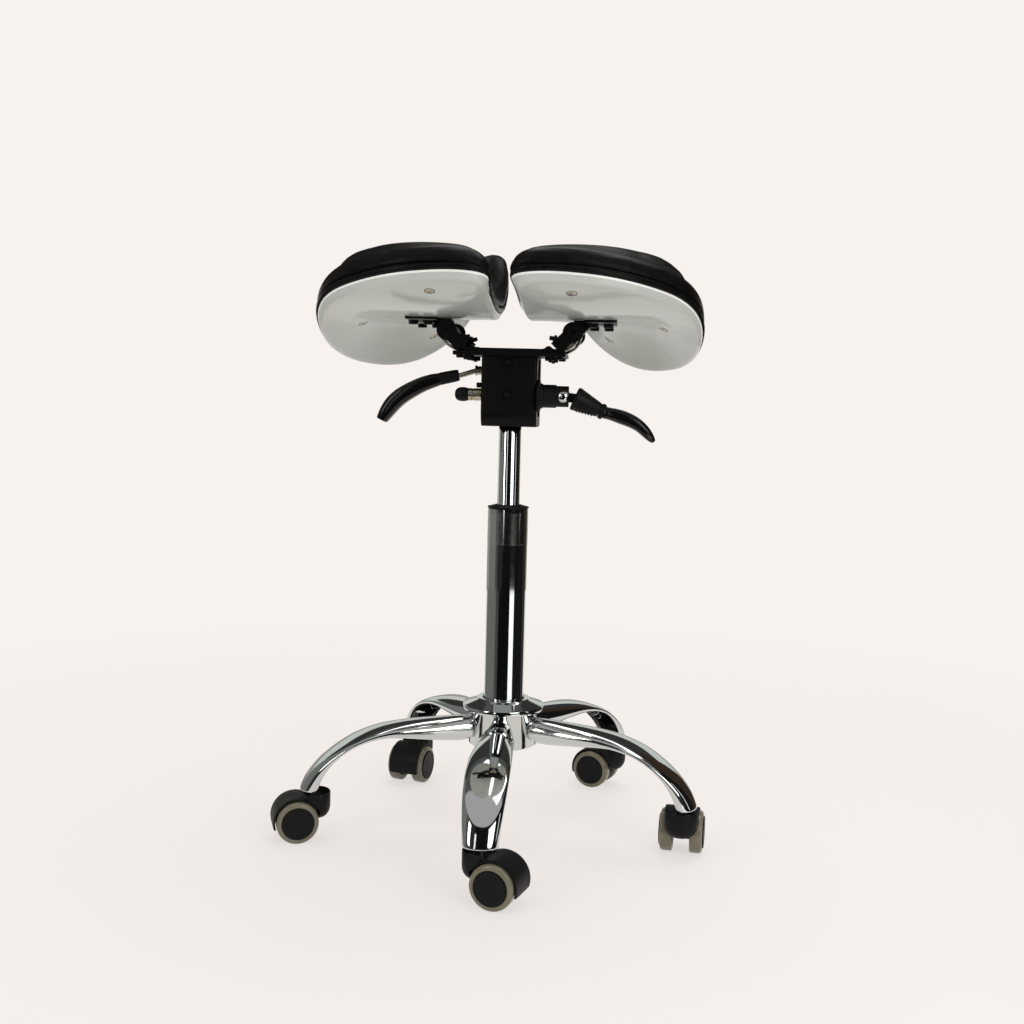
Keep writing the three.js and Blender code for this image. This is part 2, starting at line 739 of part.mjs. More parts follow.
// Height lever: a bent rod on a fulcrum pin, and a grip with a curved paddle
const heightGripShares = [
  // reach and drop from the column axis and the lever's height, depth, width
  [0.395, 0.105, 0.80, 0.62],
  [0.480, 0.140, 0.80, 0.62],
  [0.590, 0.205, 0.84, 0.66],
  [0.680, 0.260, 1.00, 0.84],
  [0.780, 0.350, 1.08, 1.00],
  [0.860, 0.480, 1.04, 1.00],
  [0.922, 0.660, 0.98, 0.96],
  [0.952, 0.850, 0.92, 0.88],
  [0.960, 0.980, 0.74, 0.70],
];

function buildHeightLever() {
  const stops = heightGripShares.map(([reach, drop, depth, width]) => [
    -reach * heightLeverReach, leverAxisHeight - drop * heightLeverDrop,
    depth * heightGripDepth, width * heightGripWidth,
  ]);
  const [mouthX, mouthZ] = stops[0];
  const [nextX, nextZ] = stops[1];
  const endX = (mouthX + nextX) / 2;
  const endZ = (mouthZ + nextZ) / 2;
  const thick = 2 * leverRodRadius;
  const rod = barAlong([
    [pinRadius, leverAxisHeight, thick, thick],
    [-rodBendReach + rodBendHalf, leverAxisHeight, thick, thick],
    [-rodBendReach - rodBendHalf, leverAxisHeight - leverRodRadius / 3, thick, thick],
    [mouthX, mouthZ, thick, thick],
    [endX, endZ, thick, thick],
  ], 0, smallSides, 1);
  const earOuter = leverRodRadius + gap + gap + earWall;
  const cross = rodAlong('y', fulcrumPinRadius, -earOuter, earOuter).translate(-fulcrumOffset, 0, leverAxisHeight);
  place('height_lever_rod', join(rod, cross), zinc);
  const grip = barAlong(stops, 0, gripSides, gripSquareness);
  const socketRoom = barAlong([
    [mouthX + overrun, mouthZ + overrun * (mouthZ - nextZ) / (mouthX - nextX), thick + 2 * gap, thick + 2 * gap],
    [endX - gap, endZ - gap, thick + 2 * gap, thick + 2 * gap],
  ], 0, smallSides, 1);
  place('height_lever_grip', cut(grip, socketRoom), blackPlastic);
}

// Seat carrier: a cross plate, and at each side an arm, a hinge bolt and a bracket
const bracketTop = seatHeight - panDepth - gap;

function lowerArm() {
  const foot = plateTop + gap;
  const half = armWidth / 2;
  const strapTop = foot + armThickness;
  const tangent = hingeRadius * Math.SQRT1_2;
  const strap = [
    [armFootInner, foot],
    [armFootOuter + armThickness / 2, foot],
    [hingeOffset + tangent, hingeHeight - tangent],
    [hingeOffset - tangent, hingeHeight],
    [armFootOuter - armThickness / 2, strapTop],
    [armFootInner, strapTop],
  ];
  const body = join(
    extrudedAlongY(strap, -half, half),
    rodAlong('y', hingeRadius, -half, half, roundSides).translate(hingeOffset, 0, hingeHeight),
  );
  const knuckleRoom = block(
    new THREE.Vector3(armFootOuter + armThickness, -knuckleWidth / 2 - gap, hingeHeight - hingeRadius - armThickness),
    new THREE.Vector3(bracketOuter, knuckleWidth / 2 + gap, hingeHeight + hingeRadius + armThickness),
  );
  const boltHole = rodAlong('y', hingeBoltRadius + gap, -armWidth, armWidth).translate(hingeOffset, 0, hingeHeight);
  return cut(body, knuckleRoom, boltHole);
}

function upperBracket() {
  const half = armWidth / 2;
  const knuckle = knuckleWidth / 2 - gap;
  const tangent = hingeRadius * Math.SQRT1_2;
  const plate = block(
    new THREE.Vector3(bracketInner, -half, bracketTop - bracketThickness),
    new THREE.Vector3(bracketOuter, half, bracketTop),
  );
  const web = extrudedAlongY([
    [hingeOffset - hingeRadius, hingeHeight],
    [hingeOffset + tangent, hingeHeight - tangent],
    [bracketInner + bracketLand, bracketTop - bracketThickness],
    [bracketInner + bracketLand, bracketTop],
    [hingeOffset, bracketTop],
  ], -knuckle, knuckle);
  const barrel = rodAlong('y', hingeRadius, -knuckle, knuckle, roundSides).translate(hingeOffset, 0, hingeHeight);
  const boltHole = rodAlong('y', hingeBoltRadius + gap, -armWidth, armWidth).translate(hingeOffset, 0, hingeHeight);
  return cut(join(plate, web, barrel), boltHole);
}

function hingeBolt() {
  const half = armWidth / 2 + gap;
  return turned([
    [0, -half],
    [hingeBoltRadius, -half],
    [hingeBoltRadius, half],
    [hingeBoltHeadRadius, half],
    [hingeBoltHeadRadius, half + hingeBoltHeadDepth],
    [0, half + hingeBoltHeadDepth],
  ], smallSides).rotateX(Math.PI / 2);
}

// Seat halves: rings round one rim curve, scaled towards the middle of the half
const rimShares = [
  // right half seen from above, from the rear inner corner outwards and round to the pommel
  [0.070, -0.925, 0.297],
  [0.105, -0.960, 0.317],
  [0.254, -0.970, 0.327],
  [0.478, -0.935, 0.297],
  [0.697, -0.830, 0.217],
  [0.886, -0.645, 0.087],
  [0.987, -0.385, -0.123],
  [1.000, -0.120, -0.373],
  [0.965, 0.165, -0.523],
  [0.886, 0.445, -0.603],
  [0.763, 0.660, -0.603],
  [0.618, 0.785, -0.503],
  [0.474, 0.880, -0.263],
  [0.350, 0.968, 0.077],
  [0.248, 1.020, 0.560],
  [0.155, 1.000, 0.610],
  [0.106, 0.790, 0.450],
  [0.088, 0.445, 0.127],
  [0.079, 0.140, 0.017],
  [0.075, -0.265, 0.007],
  [0.072, -0.615, 0.127],
];
const rimCurve = new THREE.CatmullRomCurve3(
  rimShares.map(([x, y, z]) => new THREE.Vector3(x * seatRimReach, y * seatHalfLength, z * seatRimRise)),
  true,
  'centripetal',
);
const rimPoints = rimCurve.getSpacedPoints(seatSides).slice(0, seatSides);

// Each ring is [share of the way from the middle to the rim, outward offset, height,
// share of the pommel's extra filling].
function seatLayer(rings) {
  const surface = rings.map(([share, outward, height, filling = 0]) => rimPoints.map((p, i) => {
    const before = rimPoints[(i + seatSides - 1) % seatSides];
    const after = rimPoints[(i + 1) % seatSides];
    const side = new THREE.Vector2(after.y - before.y, before.x - after.x).normalize();
    const reach = Math.hypot(p.x - seatCentreX, p.y - seatCentreY);
    const along = Math.min(1, share + outward / reach);
    const bend = Math.max(0, (along - seatFlatShare) / (1 - seatFlatShare)) ** 2;
    const x = seatCentreX + share * (p.x - seatCentreX) + side.x * outward;
    const y = seatCentreY + share * (p.y - seatCentreY) + side.y * outward;
    const towardsFront = Math.max(0, y / seatHalfLength) ** 2;
    const towardsMiddle = Math.max(0, 1 - x / seatCentreX);
    const fill = filling * pommelFill * towardsFront * towardsMiddle;
    return new THREE.Vector3(x, y, seatHeight + bend * p.z + height + fill);
  }));
  return lofted(surface);
}

const innerShares = [seatFlatShare, 0.52, 0.76];
const outerShares = [...innerShares].reverse();

function pan() {
  return seatLayer([
    ...innerShares.map((share) => [share, 0, -panDepth]),
    [panDishShare, 0, -panDepth],
    [1, -panBevel, -panDepth],
    [1, -panBevel / 8, -panDepth / 4],
    [1, 0, 0],
    [1, -panLand, 0],
    [1, -panLand, -panDepth + panFloor],
    ...outerShares.map((share) => [share, 0, -panDepth + panFloor]),
  ]);
}

function board() {
  const top = layerGap + boardDepth;
  return seatLayer([
    ...innerShares.map((share) => [share, 0, layerGap]),
    [1, -panLand, layerGap],
    [1, 0, layerGap],
    [1, boardProud * 3 / 4, layerGap + boardDepth / 5],
    [1, boardProud, layerGap + boardDepth / 2],
    [1, boardProud * 3 / 4, layerGap + boardDepth * 4 / 5],
    [1, 0, top],
    [1, -panLand, top],
    ...outerShares.map((share) => [share, 0, top]),
  ]);
}

const cushionShares = [
  // outward offset as a share of the bulge, height as a share of the cushion's height
  [0.75, 0.07],
  [1.00, 0.20],
  [0.80, 0.32],
  [0.00, 0.45],
  [-1.60, 0.60],
  [-4.20, 0.78],
];

const crownShares = [1.08, 1.12, 1.12];

function cushion() {
  const bottom = layerGap + boardDepth + layerGap;
  return seatLayer([
    ...innerShares.map((share) => [share, 0, bottom]),
    [1, -panLand, bottom],
    [1, 0, bottom],
    ...cushionShares.map(([outward, up]) => [1, outward * cushionBulge, bottom + up * cushionHeight, up]),
    ...outerShares.map((share, i) => [share, 0, bottom + crownShares[i] * cushionHeight, 1]),
  ]);
}

function buildSeat() {
  place('tilt_housing', housing(), blackPaint);
  const lowerPlate = block(
    new THREE.Vector3(-plateWidth / 2, -plateDepth / 2, plateBottom),
    new THREE.Vector3(plateWidth / 2, plateDepth / 2, plateTop),
  );
  const upperPlate = block(
    new THREE.Vector3(-armFootInner + gap, -plateDepth / 2, plateBottom),
    new THREE.Vector3(armFootInner - gap, plateDepth / 2, plateTop + armThickness),
  );
  place('seat_plate', join(lowerPlate, upperPlate), blackPaint);
  [['right', 1], ['left', -1]].forEach(([side, sign]) => {
    const half = new THREE.Group();
    half.scale.x = sign;
    stool.add(half);
    place(`lower_arm_${side}`, lowerArm(), blackPaint, half);
    place(`hinge_bolt_${side}`, hingeBolt(), blackPaint, half).position.set(hingeOffset, 0, hingeHeight);
    place(`upper_bracket_${side}`, upperBracket(), blackPaint, half);
    place(`seat_pan_${side}`, pan(), whitePan, half);
    place(`seat_board_${side}`, board(), blackLeather, half);
    place(`seat_cushion_${side}`, cushion(), blackLeather, half);
  });
}

buildBase();
buildColumn();
place('taper_socket', socket(), zinc);
buildClamp();
buildHeightLever();
buildSeat();

// The origin is on the floor, at the middle of the whole stool's box.
const wholeBox = new THREE.Box3().setFromObject(stool);
const middle = wholeBox.getCenter(new THREE.Vector3());
stool.position.set(-middle.x, -middle.y, -wholeBox.min.z);

export default stool;
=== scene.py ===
# %% [markdown]
# # A saddle stool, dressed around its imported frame
# The frame holds every solid of the stool in metres, with +Z up and the seat's rear facing -Y.
# This script adds the looks: it measures the frame, makes the finishes, models each visible piece
# and hands all of it to the body that carries it.

# %% Load the frame
import json
import math

import bmesh
import bpy
from mathutils import Matrix, Vector
from mathutils.bvhtree import BVHTree


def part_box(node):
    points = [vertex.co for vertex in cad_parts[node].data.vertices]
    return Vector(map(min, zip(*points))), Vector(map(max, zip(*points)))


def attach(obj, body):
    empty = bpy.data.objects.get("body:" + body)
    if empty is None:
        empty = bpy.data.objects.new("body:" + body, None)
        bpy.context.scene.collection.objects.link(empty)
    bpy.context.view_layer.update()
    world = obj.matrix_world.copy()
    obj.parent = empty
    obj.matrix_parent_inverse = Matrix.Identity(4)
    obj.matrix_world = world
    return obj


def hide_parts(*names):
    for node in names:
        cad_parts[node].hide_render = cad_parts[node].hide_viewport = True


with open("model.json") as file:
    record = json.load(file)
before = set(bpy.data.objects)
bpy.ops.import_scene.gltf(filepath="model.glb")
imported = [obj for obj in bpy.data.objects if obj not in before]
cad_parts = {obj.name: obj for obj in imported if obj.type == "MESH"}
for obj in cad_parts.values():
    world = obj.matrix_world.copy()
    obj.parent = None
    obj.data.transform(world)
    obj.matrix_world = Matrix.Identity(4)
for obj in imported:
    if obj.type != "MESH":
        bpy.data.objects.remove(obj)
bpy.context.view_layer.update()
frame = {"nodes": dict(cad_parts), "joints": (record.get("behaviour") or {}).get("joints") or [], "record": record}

MM = 0.001
tube_low, tube_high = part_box("column_tube")
column_foot = Vector(((tube_low.x + tube_high.x) / 2, (tube_low.y + tube_high.y) / 2, 0))
print("column axis at", [round(v, 5) for v in column_foot])

# %% [markdown]
# ## Colours and nodes
# Hex colours are what a paint chart or a colour picker gives, in sRGB, while a shader wants linear
# light. One function turns the first into the second, and a second one adds a node to a tree with its
# settings and links. No real finish is even, so most of them are made by one recipe: a noise lets the
# tone, the gloss and a fine relief drift over the surface.

# %% Helpers for materials
def colour(hex_value):
    channels = [int(hex_value[i:i + 2], 16) / 255 for i in (1, 3, 5)]
    linear = [c / 12.92 if c <= 0.04045 else ((c + 0.055) / 1.055) ** 2.4 for c in channels]
    return (*linear, 1)


def add_node(tree, kind, inputs=None, **settings):
    node = tree.nodes.new(kind)
    for name, value in settings.items():
        setattr(node, name, value)
    for name, value in (inputs or {}).items():
        if isinstance(value, bpy.types.NodeSocket):
            tree.links.new(value, node.inputs[name])
        else:
            node.inputs[name].default_value = value
    return node


def start_finish(name, **shader_values):
    """A new material with its shader's plain values set. Returns it, its tree, shader and place."""
    material = bpy.data.materials.new(name)
    material.use_nodes = True
    tree = material.node_tree
    shader = tree.nodes["Principled BSDF"]
    for socket, value in shader_values.items():
        shader.inputs[socket.replace("_", " ")].default_value = value
    place = add_node(tree, "ShaderNodeTexCoord").outputs["Object"]
    return material, tree, shader, place


def patchy_finish(name, patterns, tones=(), stops=(0, 1), gloss=(), reach=(0, 1), relief=(), **shader_values):
    """A finish that drifts over its surface.

    A pattern is a noise's patch width and detail. The first one drives the two tones, which lie at its
    stops, and the relief, a strength and a depth. The last one drives the gloss: its reach becomes the
    lowest and the highest roughness.
    """
    material, tree, shader, place = start_finish(name, **shader_values)
    noises = [add_node(tree, "ShaderNodeTexNoise", {"Vector": place, "Scale": 1 / width, "Detail": detail})
              for width, detail in patterns]
    if tones:
        tone = add_node(tree, "ShaderNodeValToRGB", {"Fac": noises[0].outputs["Fac"]})
        for element, stop, hex_value in zip(tone.color_ramp.elements, stops, tones):
            element.position, element.color = stop, colour(hex_value)
        tree.links.new(tone.outputs["Color"], shader.inputs["Base Color"])
    if gloss:
        shine = add_node(tree, "ShaderNodeMapRange", {
            "Value": noises[-1].outputs["Fac"], "From Min": reach[0], "From Max": reach[1],
            "To Min": gloss[0], "To Max": gloss[1]})
        tree.links.new(shine.outputs["Result"], shader.inputs["Roughness"])
    if relief:
        bump = add_node(tree, "ShaderNodeBump", {
            "Height": noises[0].outputs["Fac"], "Strength": relief[0], "Distance": relief[1]})
        tree.links.new(bump.outputs["Normal"], shader.inputs["Normal"])
    print("finish", name)
    return material


# %% [markdown]
# ## Chrome plate
# The base, the column and its cylinder are steel, polished and chrome plated. To the eye that is a
# neutral mirror: nearly all of its look is what it reflects, so it needs a very low roughness. Hands
# and polishing leave a faint haze, and pressed sheet is never quite flat, so a wide noise varies
# the roughness and a wide, weak bump bends the reflections a little.

# %% Chrome plate
HAZE = 60 * MM          # width of a hazy patch
PRESS_WAVE = 45 * MM    # width of the waves that pressing leaves in sheet steel
MIDDLE = (0.3, 0.7)     # the reach of a noise in which nearly all of its values lie

chrome_plate = patchy_finish("chrome_plate", ((PRESS_WAVE, 1.0), (HAZE, 3.0)), gloss=(0.035, 0.085), reach=MIDDLE,
                             relief=(0.12, 0.4 * MM), Metallic=1.0, Base_Color=colour("#cfd2d1"))

# %% [markdown]
# ## Clear film on the column
# Below its collar the tube wears a band of clear self-adhesive film. It keeps the chrome's mirror but
# is a little softer and paler than the bare plate, and its edge shows as a fine line. The band is
# left plain.

# %% Film band
FILM_GRAIN = 8 * MM

film_band = patchy_finish("film_over_chrome", ((FILM_GRAIN, 2.0),), gloss=(0.08, 0.16), Metallic=1.0,
                          Base_Color=colour("#d8d8d5"), Coat_Weight=0.6, Coat_Roughness=0.08)

# %% [markdown]
# ## Bare steel and zinc plate
# Stems, axles and the column's rod are bare machined steel: a darker metal with fine turning marks.
# The lock nut, the lever's rod, the hinges' screws and straps and the pans' screws are zinc plated,
# which is paler, softer and drifts from grey to a weak yellow where the passivation is thicker.

# %% Steel and zinc
TURNING = 0.6 * MM      # real tool marks are near 0.1 mm; drawn coarser so that they show
ZINC_CLOUD = 9 * MM

bare_steel = patchy_finish("machined_steel", ((TURNING, 2.0),), ("#85868a", "#b4b5b6"), gloss=(0.2, 0.38),
                           Metallic=1.0)
zinc_plate = patchy_finish("zinc_plate", ((ZINC_CLOUD, 3.0),), ("#b9a985", "#c9c8c4"), stops=(0.35, 0.65),
                           gloss=(0.22, 0.36), Metallic=1.0)

# %% [markdown]
# ## Black powder coat
# The tilt housing, the plate and the hinges are steel with a black powder coat. Powder melts into a
# skin with a fine orange peel, so the finish is a dark base, a middling roughness and a bump of
# about a millimetre. Handling leaves the peel a little polished in places.

# %% Powder coat
PEEL = 1.4 * MM
RUB = 30 * MM           # width of a patch that handling has polished

powder_coat = patchy_finish("black_powder_coat", ((PEEL, 2.0), (RUB, 4.0)), ("#070708", "#0e0e0f"),
                            gloss=(0.3, 0.46), reach=MIDDLE, relief=(0.25, 0.1 * MM), IOR=1.5,
                            Specular_IOR_Level=0.1)

# %% [markdown]
# ## Moulded black nylon
# Caster hoods, wheel discs, the clamp sleeve and the collar are injection moulded nylon from a
# spark-eroded mould: even, dark and nearly matt, with a fine grain. The levers' paddles come from a
# polished mould, so they use the same resin with a lower roughness.

# %% Nylon, matt and glossy
MOULD_GRAIN = 0.9 * MM    # real grain is about 0.2 mm; drawn coarser so that it shows
SCUFF = 22 * MM

moulded_nylon = patchy_finish("moulded_nylon", ((MOULD_GRAIN, 2.0), (SCUFF, 4.0)), ("#0a0a0b", "#111112"),
                              gloss=(0.42, 0.56), reach=MIDDLE, relief=(0.3, 0.08 * MM), IOR=1.53,
                              Specular_IOR_Level=0.14)
polished_nylon = patchy_finish("polished_nylon", ((MOULD_GRAIN, 2.0), (SCUFF, 4.0)), ("#08080a", "#0b0b0d"),
                               gloss=(0.14, 0.2), reach=MIDDLE, relief=(0, 0.08 * MM), IOR=1.53,
                               Specular_IOR_Level=0.32)

# %% [markdown]
# ## Polyurethane treads
# The wheels' treads are cast polyurethane in a grey-brown, smooth and glossy, with a soft depth to the
# colour. Rolling dulls the running surface, which a slow noise in the roughness gives.

# %% Treads
DUST = 14 * MM

tread_polyurethane = patchy_finish("tread_polyurethane", ((DUST, 4.0),), ("#666251", "#78735f"),
                                   gloss=(0.16, 0.3), reach=MIDDLE, IOR=1.5, Subsurface_Weight=0.05,
                                   Subsurface_Radius=(0.002, 0.0015, 0.001))

# %% [markdown]
# ## Glossy white ABS
# Each seat half rests in a pan of white ABS, vacuum formed over a tool and glossy on its outer side.
# It is a cool white that mirrors its surroundings at a glance. It hangs in the seat's own shade, and that
# shade is painted into its colour, which is a light grey. Forming leaves it slightly wavy, so a wide and very
# weak bump lets the reflections wander. Its rim gets a paler and smoother copy of the finish: a painted
# highlight where its upright faces catch the light.

# %% White pan
FORM_WAVE, RIM_CLOUD = 70 * MM, 40 * MM

# White plastic with the seat's shade painted in: its grey tones are painted shade.
white_abs_painted_shade = patchy_finish("white_abs_painted_shade", ((FORM_WAVE, 1.0),), ("#b1b9b3", "#b8c0ba"), gloss=(0.12, 0.2),
                          relief=(0.1, 0.6 * MM), IOR=1.54, Specular_IOR_Level=0.4, Coat_Weight=0.1,
                          Coat_Roughness=0.03)
# A paler, smoother copy of the pan's plastic for its rim: a painted highlight where its upright faces catch the
# light.
rim_painted_highlight_abs = patchy_finish("rim_painted_highlight_abs", ((RIM_CLOUD, 1.0),), ("#e2e6e2", "#eceeeb"), IOR=1.54,
                                   Roughness=0.12, Specular_IOR_Level=0.4)

# %% [markdown]
# ## Black leather
# The cushions wear a thin, corrected cowhide: a fine pebble, a soft half gloss and a hint of brown where
# light falls across it. A Voronoi texture gives the pebbles, and a slow noise gives wide folds and
# lets some areas shine more. Over the board's edge the hide is pulled tight, so the same recipe is used
# there with a flatter grain and a higher shine. Two bumps are chained, so it has a cell of its own.

# %% Leather, loose and tight
PEBBLE = 1.3 * MM      # real pebbles are near 0.7 mm; drawn coarser so that they show
WRINKLE = 16 * MM

leathers = {}
for finish_name, low, high, depth in (
        ("cushion_leather", 0.3, 0.44, 0.2), ("tight_leather", 0.24, 0.36, 0.12)):
    hide, tree, shader, place = start_finish(finish_name, IOR=1.48, Specular_IOR_Level=0.1)
    pebble = add_node(tree, "ShaderNodeTexVoronoi", {"Vector": place, "Scale": 1 / PEBBLE},
                      feature="SMOOTH_F1")
    crease = add_node(tree, "ShaderNodeTexNoise", {"Vector": place, "Scale": 1 / WRINKLE, "Detail": 5.0})
    tone = add_node(tree, "ShaderNodeValToRGB", {"Fac": crease.outputs["Fac"]})
    tone.color_ramp.elements[0].position = 0.3
    tone.color_ramp.elements[0].color = colour("#0a0909")
    tone.color_ramp.elements[1].position = 0.75
    tone.color_ramp.elements[1].color = colour("#131010")
    shine = add_node(tree, "ShaderNodeMapRange", {
        "Value": crease.outputs["Fac"], "From Min": MIDDLE[0], "From Max": MIDDLE[1],
        "To Min": low, "To Max": high})
    grain = add_node(tree, "ShaderNodeBump", {
        "Height": pebble.outputs["Distance"], "Strength": depth, "Distance": 0.15 * MM})
    fold = add_node(tree, "ShaderNodeBump", {
        "Height": crease.outputs["Fac"], "Normal": grain.outputs["Normal"],
        "Strength": 0.12, "Distance": 0.8 * MM})
    tree.links.new(tone.outputs["Color"], shader.inputs["Base Color"])
    tree.links.new(shine.outputs["Result"], shader.inputs["Roughness"])
    tree.links.new(fold.outputs["Normal"], shader.inputs["Normal"])
    leathers[finish_name] = hide
cushion_leather = leathers["cushion_leather"]
tight_leather = leathers["tight_leather"]
print("leathers", sorted(leathers))

# %% [markdown]
# ## From a bmesh to a piece
# Every new piece ends the same way: its mesh is cleaned, its faces are turned outwards, it is moved
# from the column's own coordinates into the frame, it gets its finish, perhaps a bevel or a
# subdivision surface, and it rides on the body that carries it. Shading is smooth except across
# sharp edges, so flats stay flat and curves stay round.

# %% Finish a piece
SAME = 0.001 * MM       # points nearer than this are one


def linked(name, bm, material):
    """An object of a bmesh, moved from the column's own coordinates into the frame."""
    bmesh.ops.translate(bm, verts=bm.verts, vec=column_foot)
    mesh = bpy.data.meshes.new(name)
    bm.to_mesh(mesh)
    bm.free()
    mesh.materials.append(material)
    thing = bpy.data.objects.new(name, mesh)
    bpy.context.scene.collection.objects.link(thing)
    return thing


def make_piece(name, bm, body, material, replaces=(), bevel=0, levels=0, sharp=35):
    bmesh.ops.remove_doubles(bm, verts=bm.verts, dist=SAME)
    bmesh.ops.recalc_face_normals(bm, faces=bm.faces)
    piece = linked(name, bm, material)
    mesh = piece.data
    mesh.polygons.foreach_set("use_smooth", [True] * len(mesh.polygons))
    if levels:
        smooth = piece.modifiers.new("smooth", "SUBSURF")
        smooth.levels = smooth.render_levels = levels
    else:
        mesh.set_sharp_from_angle(angle=math.radians(sharp))
    if bevel:
        edge = piece.modifiers.new("edge", "BEVEL")
        edge.width = bevel * MM
        edge.segments = 3
        edge.angle_limit = math.radians(sharp)
        edge.harden_normals = True
    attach(piece, body)
    if replaces:
        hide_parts(*replaces)
    return piece


# %% [markdown]
# ## Turning and sweeping
# Most parts here are turned or bent bars. A turned part is a profile spun about an axis. A bar is one
# ring of points that is extruded again and again, and each new ring is carried to its own place,
# turn and size by a matrix. Both are made about the origin, in millimetres, and then put in place.

# %% Helpers for modelling
def placed(bm, matrix):
    bmesh.ops.transform(bm, matrix=matrix, verts=bm.verts)
    return bm


def facing(direction):
    """The turn that carries +Z to a direction."""
    return Vector(direction).to_track_quat("Z", "Y").to_matrix().to_4x4()


def standing(centre, direction):
    """Stands a part that was made along +Z on a point, pointing in a direction."""
    return Matrix.Translation(Vector(centre) * MM) @ facing(direction)


def heading_to(direction):
    """The turn about Z that carries +X to a direction."""
    return Matrix.Rotation(math.atan2(direction.y, direction.x), 4, "Z")


def turned(profile, steps=48):
    """Spins a profile of (radius, height) in millimetres about the Z axis."""
    bm = bmesh.new()
    points = [bm.verts.new((r * MM, 0, z * MM)) for r, z in profile]
    edges = [bm.edges.new(pair) for pair in zip(points, points[1:])]
    bmesh.ops.spin(bm, geom=points + edges, axis=(0, 0, 1), cent=(0, 0, 0),
                   angle=math.tau, steps=steps, use_merge=True)
    bmesh.ops.remove_doubles(bm, verts=bm.verts, dist=SAME)
    return bm


def round_bar(radius, low, high, steps=32):
    return turned(((0, low), (radius, low), (radius, high), (0, high)), steps)


def section(centre, along, side, half_side, half_up):
    """Where a unit circle goes: its X along side, its Y square to both, its Z along the bar."""
    z = Vector(along).normalized()
    x = Vector(side)
    x = (x - z * x.dot(z)).normalized()
    y = z.cross(x)
    axes = Matrix((x * half_side * MM, y * half_up * MM, z * MM)).transposed().to_4x4()
    return Matrix.Translation(Vector(centre) * MM) @ axes


def verts_of(geometry):
    return [g for g in geometry if isinstance(g, bmesh.types.BMVert)]


def edges_of(geometry):
    return [g for g in geometry if isinstance(g, bmesh.types.BMEdge)]


def swept(sections, sides=24, squareness=1.0, lip=None):
    """Extrudes a ring through the sections. A squareness below 1 flattens the ring's sides.

    With a lip the ring is open below: its points lower than this share of its radius are left out.
    """
    bm = bmesh.new()
    bmesh.ops.create_circle(bm, segments=sides, radius=1, cap_ends=not lip)
    if lip:
        bmesh.ops.delete(bm, geom=[v for v in bm.verts if v.co.y < -lip], context="VERTS")
    for v in bm.verts:
        v.co.x = math.copysign(abs(v.co.x) ** squareness, v.co.x)
        v.co.y = math.copysign(abs(v.co.y) ** squareness, v.co.y)
    ring, edges = bm.verts[:], bm.edges[:]
    bmesh.ops.transform(bm, matrix=sections[0], verts=ring)
    for before, after in zip(sections, sections[1:]):
        grown = bmesh.ops.extrude_edge_only(bm, edges=edges)["geom"]
        ring = verts_of(grown)
        new = set(ring)
        edges = [e for e in edges_of(grown) if e.verts[0] in new and e.verts[1] in new]
        bmesh.ops.transform(bm, matrix=after @ before.inverted(), verts=ring)
    if not lip:
        bmesh.ops.contextual_create(bm, geom=edges)
    return bm


def bar(stops, y=0, sides=24, squareness=1.0, lip=None):
    """A bar in a plane of constant y. A stop is x, z, the depth in that plane and the width across it."""
    points = [Vector((x, y, z)) for x, z, depth, width in stops]
    rings = []
    for i, (x, z, depth, width) in enumerate(stops):
        along = points[min(i + 1, len(points) - 1)] - points[max(i - 1, 0)]
        rings.append(section(points[i], along, (0, 1, 0), width / 2, depth / 2))
    return swept(rings, sides, squareness, lip)


def joined(*parts):
    """Puts several bmeshes into the first of them."""
    whole = parts[0]
    for part in parts[1:]:
        mesh = bpy.data.meshes.new("part")
        part.to_mesh(mesh)
        part.free()
        whole.from_mesh(mesh)
        bpy.data.meshes.remove(mesh)
    return whole


def copied(node, flat=0.5):
    """A copy of a CAD node about the column's foot, its triangles merged back into flat faces."""
    bm = bmesh.new()
    bm.from_mesh(frame["nodes"][node].data)
    bmesh.ops.translate(bm, verts=bm.verts, vec=-column_foot)
    bmesh.ops.remove_doubles(bm, verts=bm.verts, dist=0.01 * MM)
    if flat:
        bmesh.ops.dissolve_limit(bm, angle_limit=math.radians(flat), verts=bm.verts, edges=bm.edges)
    return bm


# %% [markdown]
# ## Camera
# The photograph was taken from behind the seat and a little to its right, just below the seat's
# height, looking slightly down. The lens and the place were solved from the casters and the column.

# %% Camera
LENS = 43.335            # mm, on a 36 mm wide sensor
EYE = Vector((136.44, -1527.96, 546.30)) * MM
GAZE = Vector((-0.08544, 0.99205, -0.09242)).normalized()
HEAD = Vector((-0.03314, 0.08988, 0.99540))

lens = bpy.data.cameras.new("camera")
lens.lens = LENS
lens.sensor_width = 36
camera = bpy.data.objects.new("camera", lens)
bpy.context.scene.collection.objects.link(camera)
level = GAZE.cross(HEAD).normalized()
turn = Matrix((level, level.cross(GAZE), -GAZE)).transposed().to_4x4()
camera.matrix_world = Matrix.Translation(EYE + column_foot) @ turn
bpy.context.scene.camera = camera

# %% [markdown]
# ## Studio
# The photo has a white sweep that runs under and behind the stool. The chrome, though, mirrors a dark
# room with a few soft boxes in it. So the stool stands on a pale floor in a pale world, and around it
# stand cards that only reflections can see: dark ones, grey ones, and bright strips between them. The
# floor is lit by its own glow far out, which hides the horizon, and by the lamps near the stool, which
# keeps the soft shadows.

# %% World
PAPER = "#f7f2ee"
scene = bpy.context.scene
scene.view_settings.view_transform = "Standard"
world = bpy.data.worlds.new("studio")
world.use_nodes = True
scene.world = world
backdrop = world.node_tree.nodes["Background"]
backdrop.inputs["Color"].default_value = colour(PAPER)


def seen_directly(tree):
    """1 for a ray from the camera, from a mirror or through a clear part, and 0 for soft light."""
    path = add_node(tree, "ShaderNodeLightPath")
    either = add_node(tree, "ShaderNodeMath", {0: path.outputs["Is Camera Ray"],
                      1: path.outputs["Is Glossy Ray"]}, operation="MAXIMUM")
    return add_node(tree, "ShaderNodeMath", {0: either.outputs[0],
                    1: path.outputs["Is Transmission Ray"]}, operation="MAXIMUM").outputs[0]


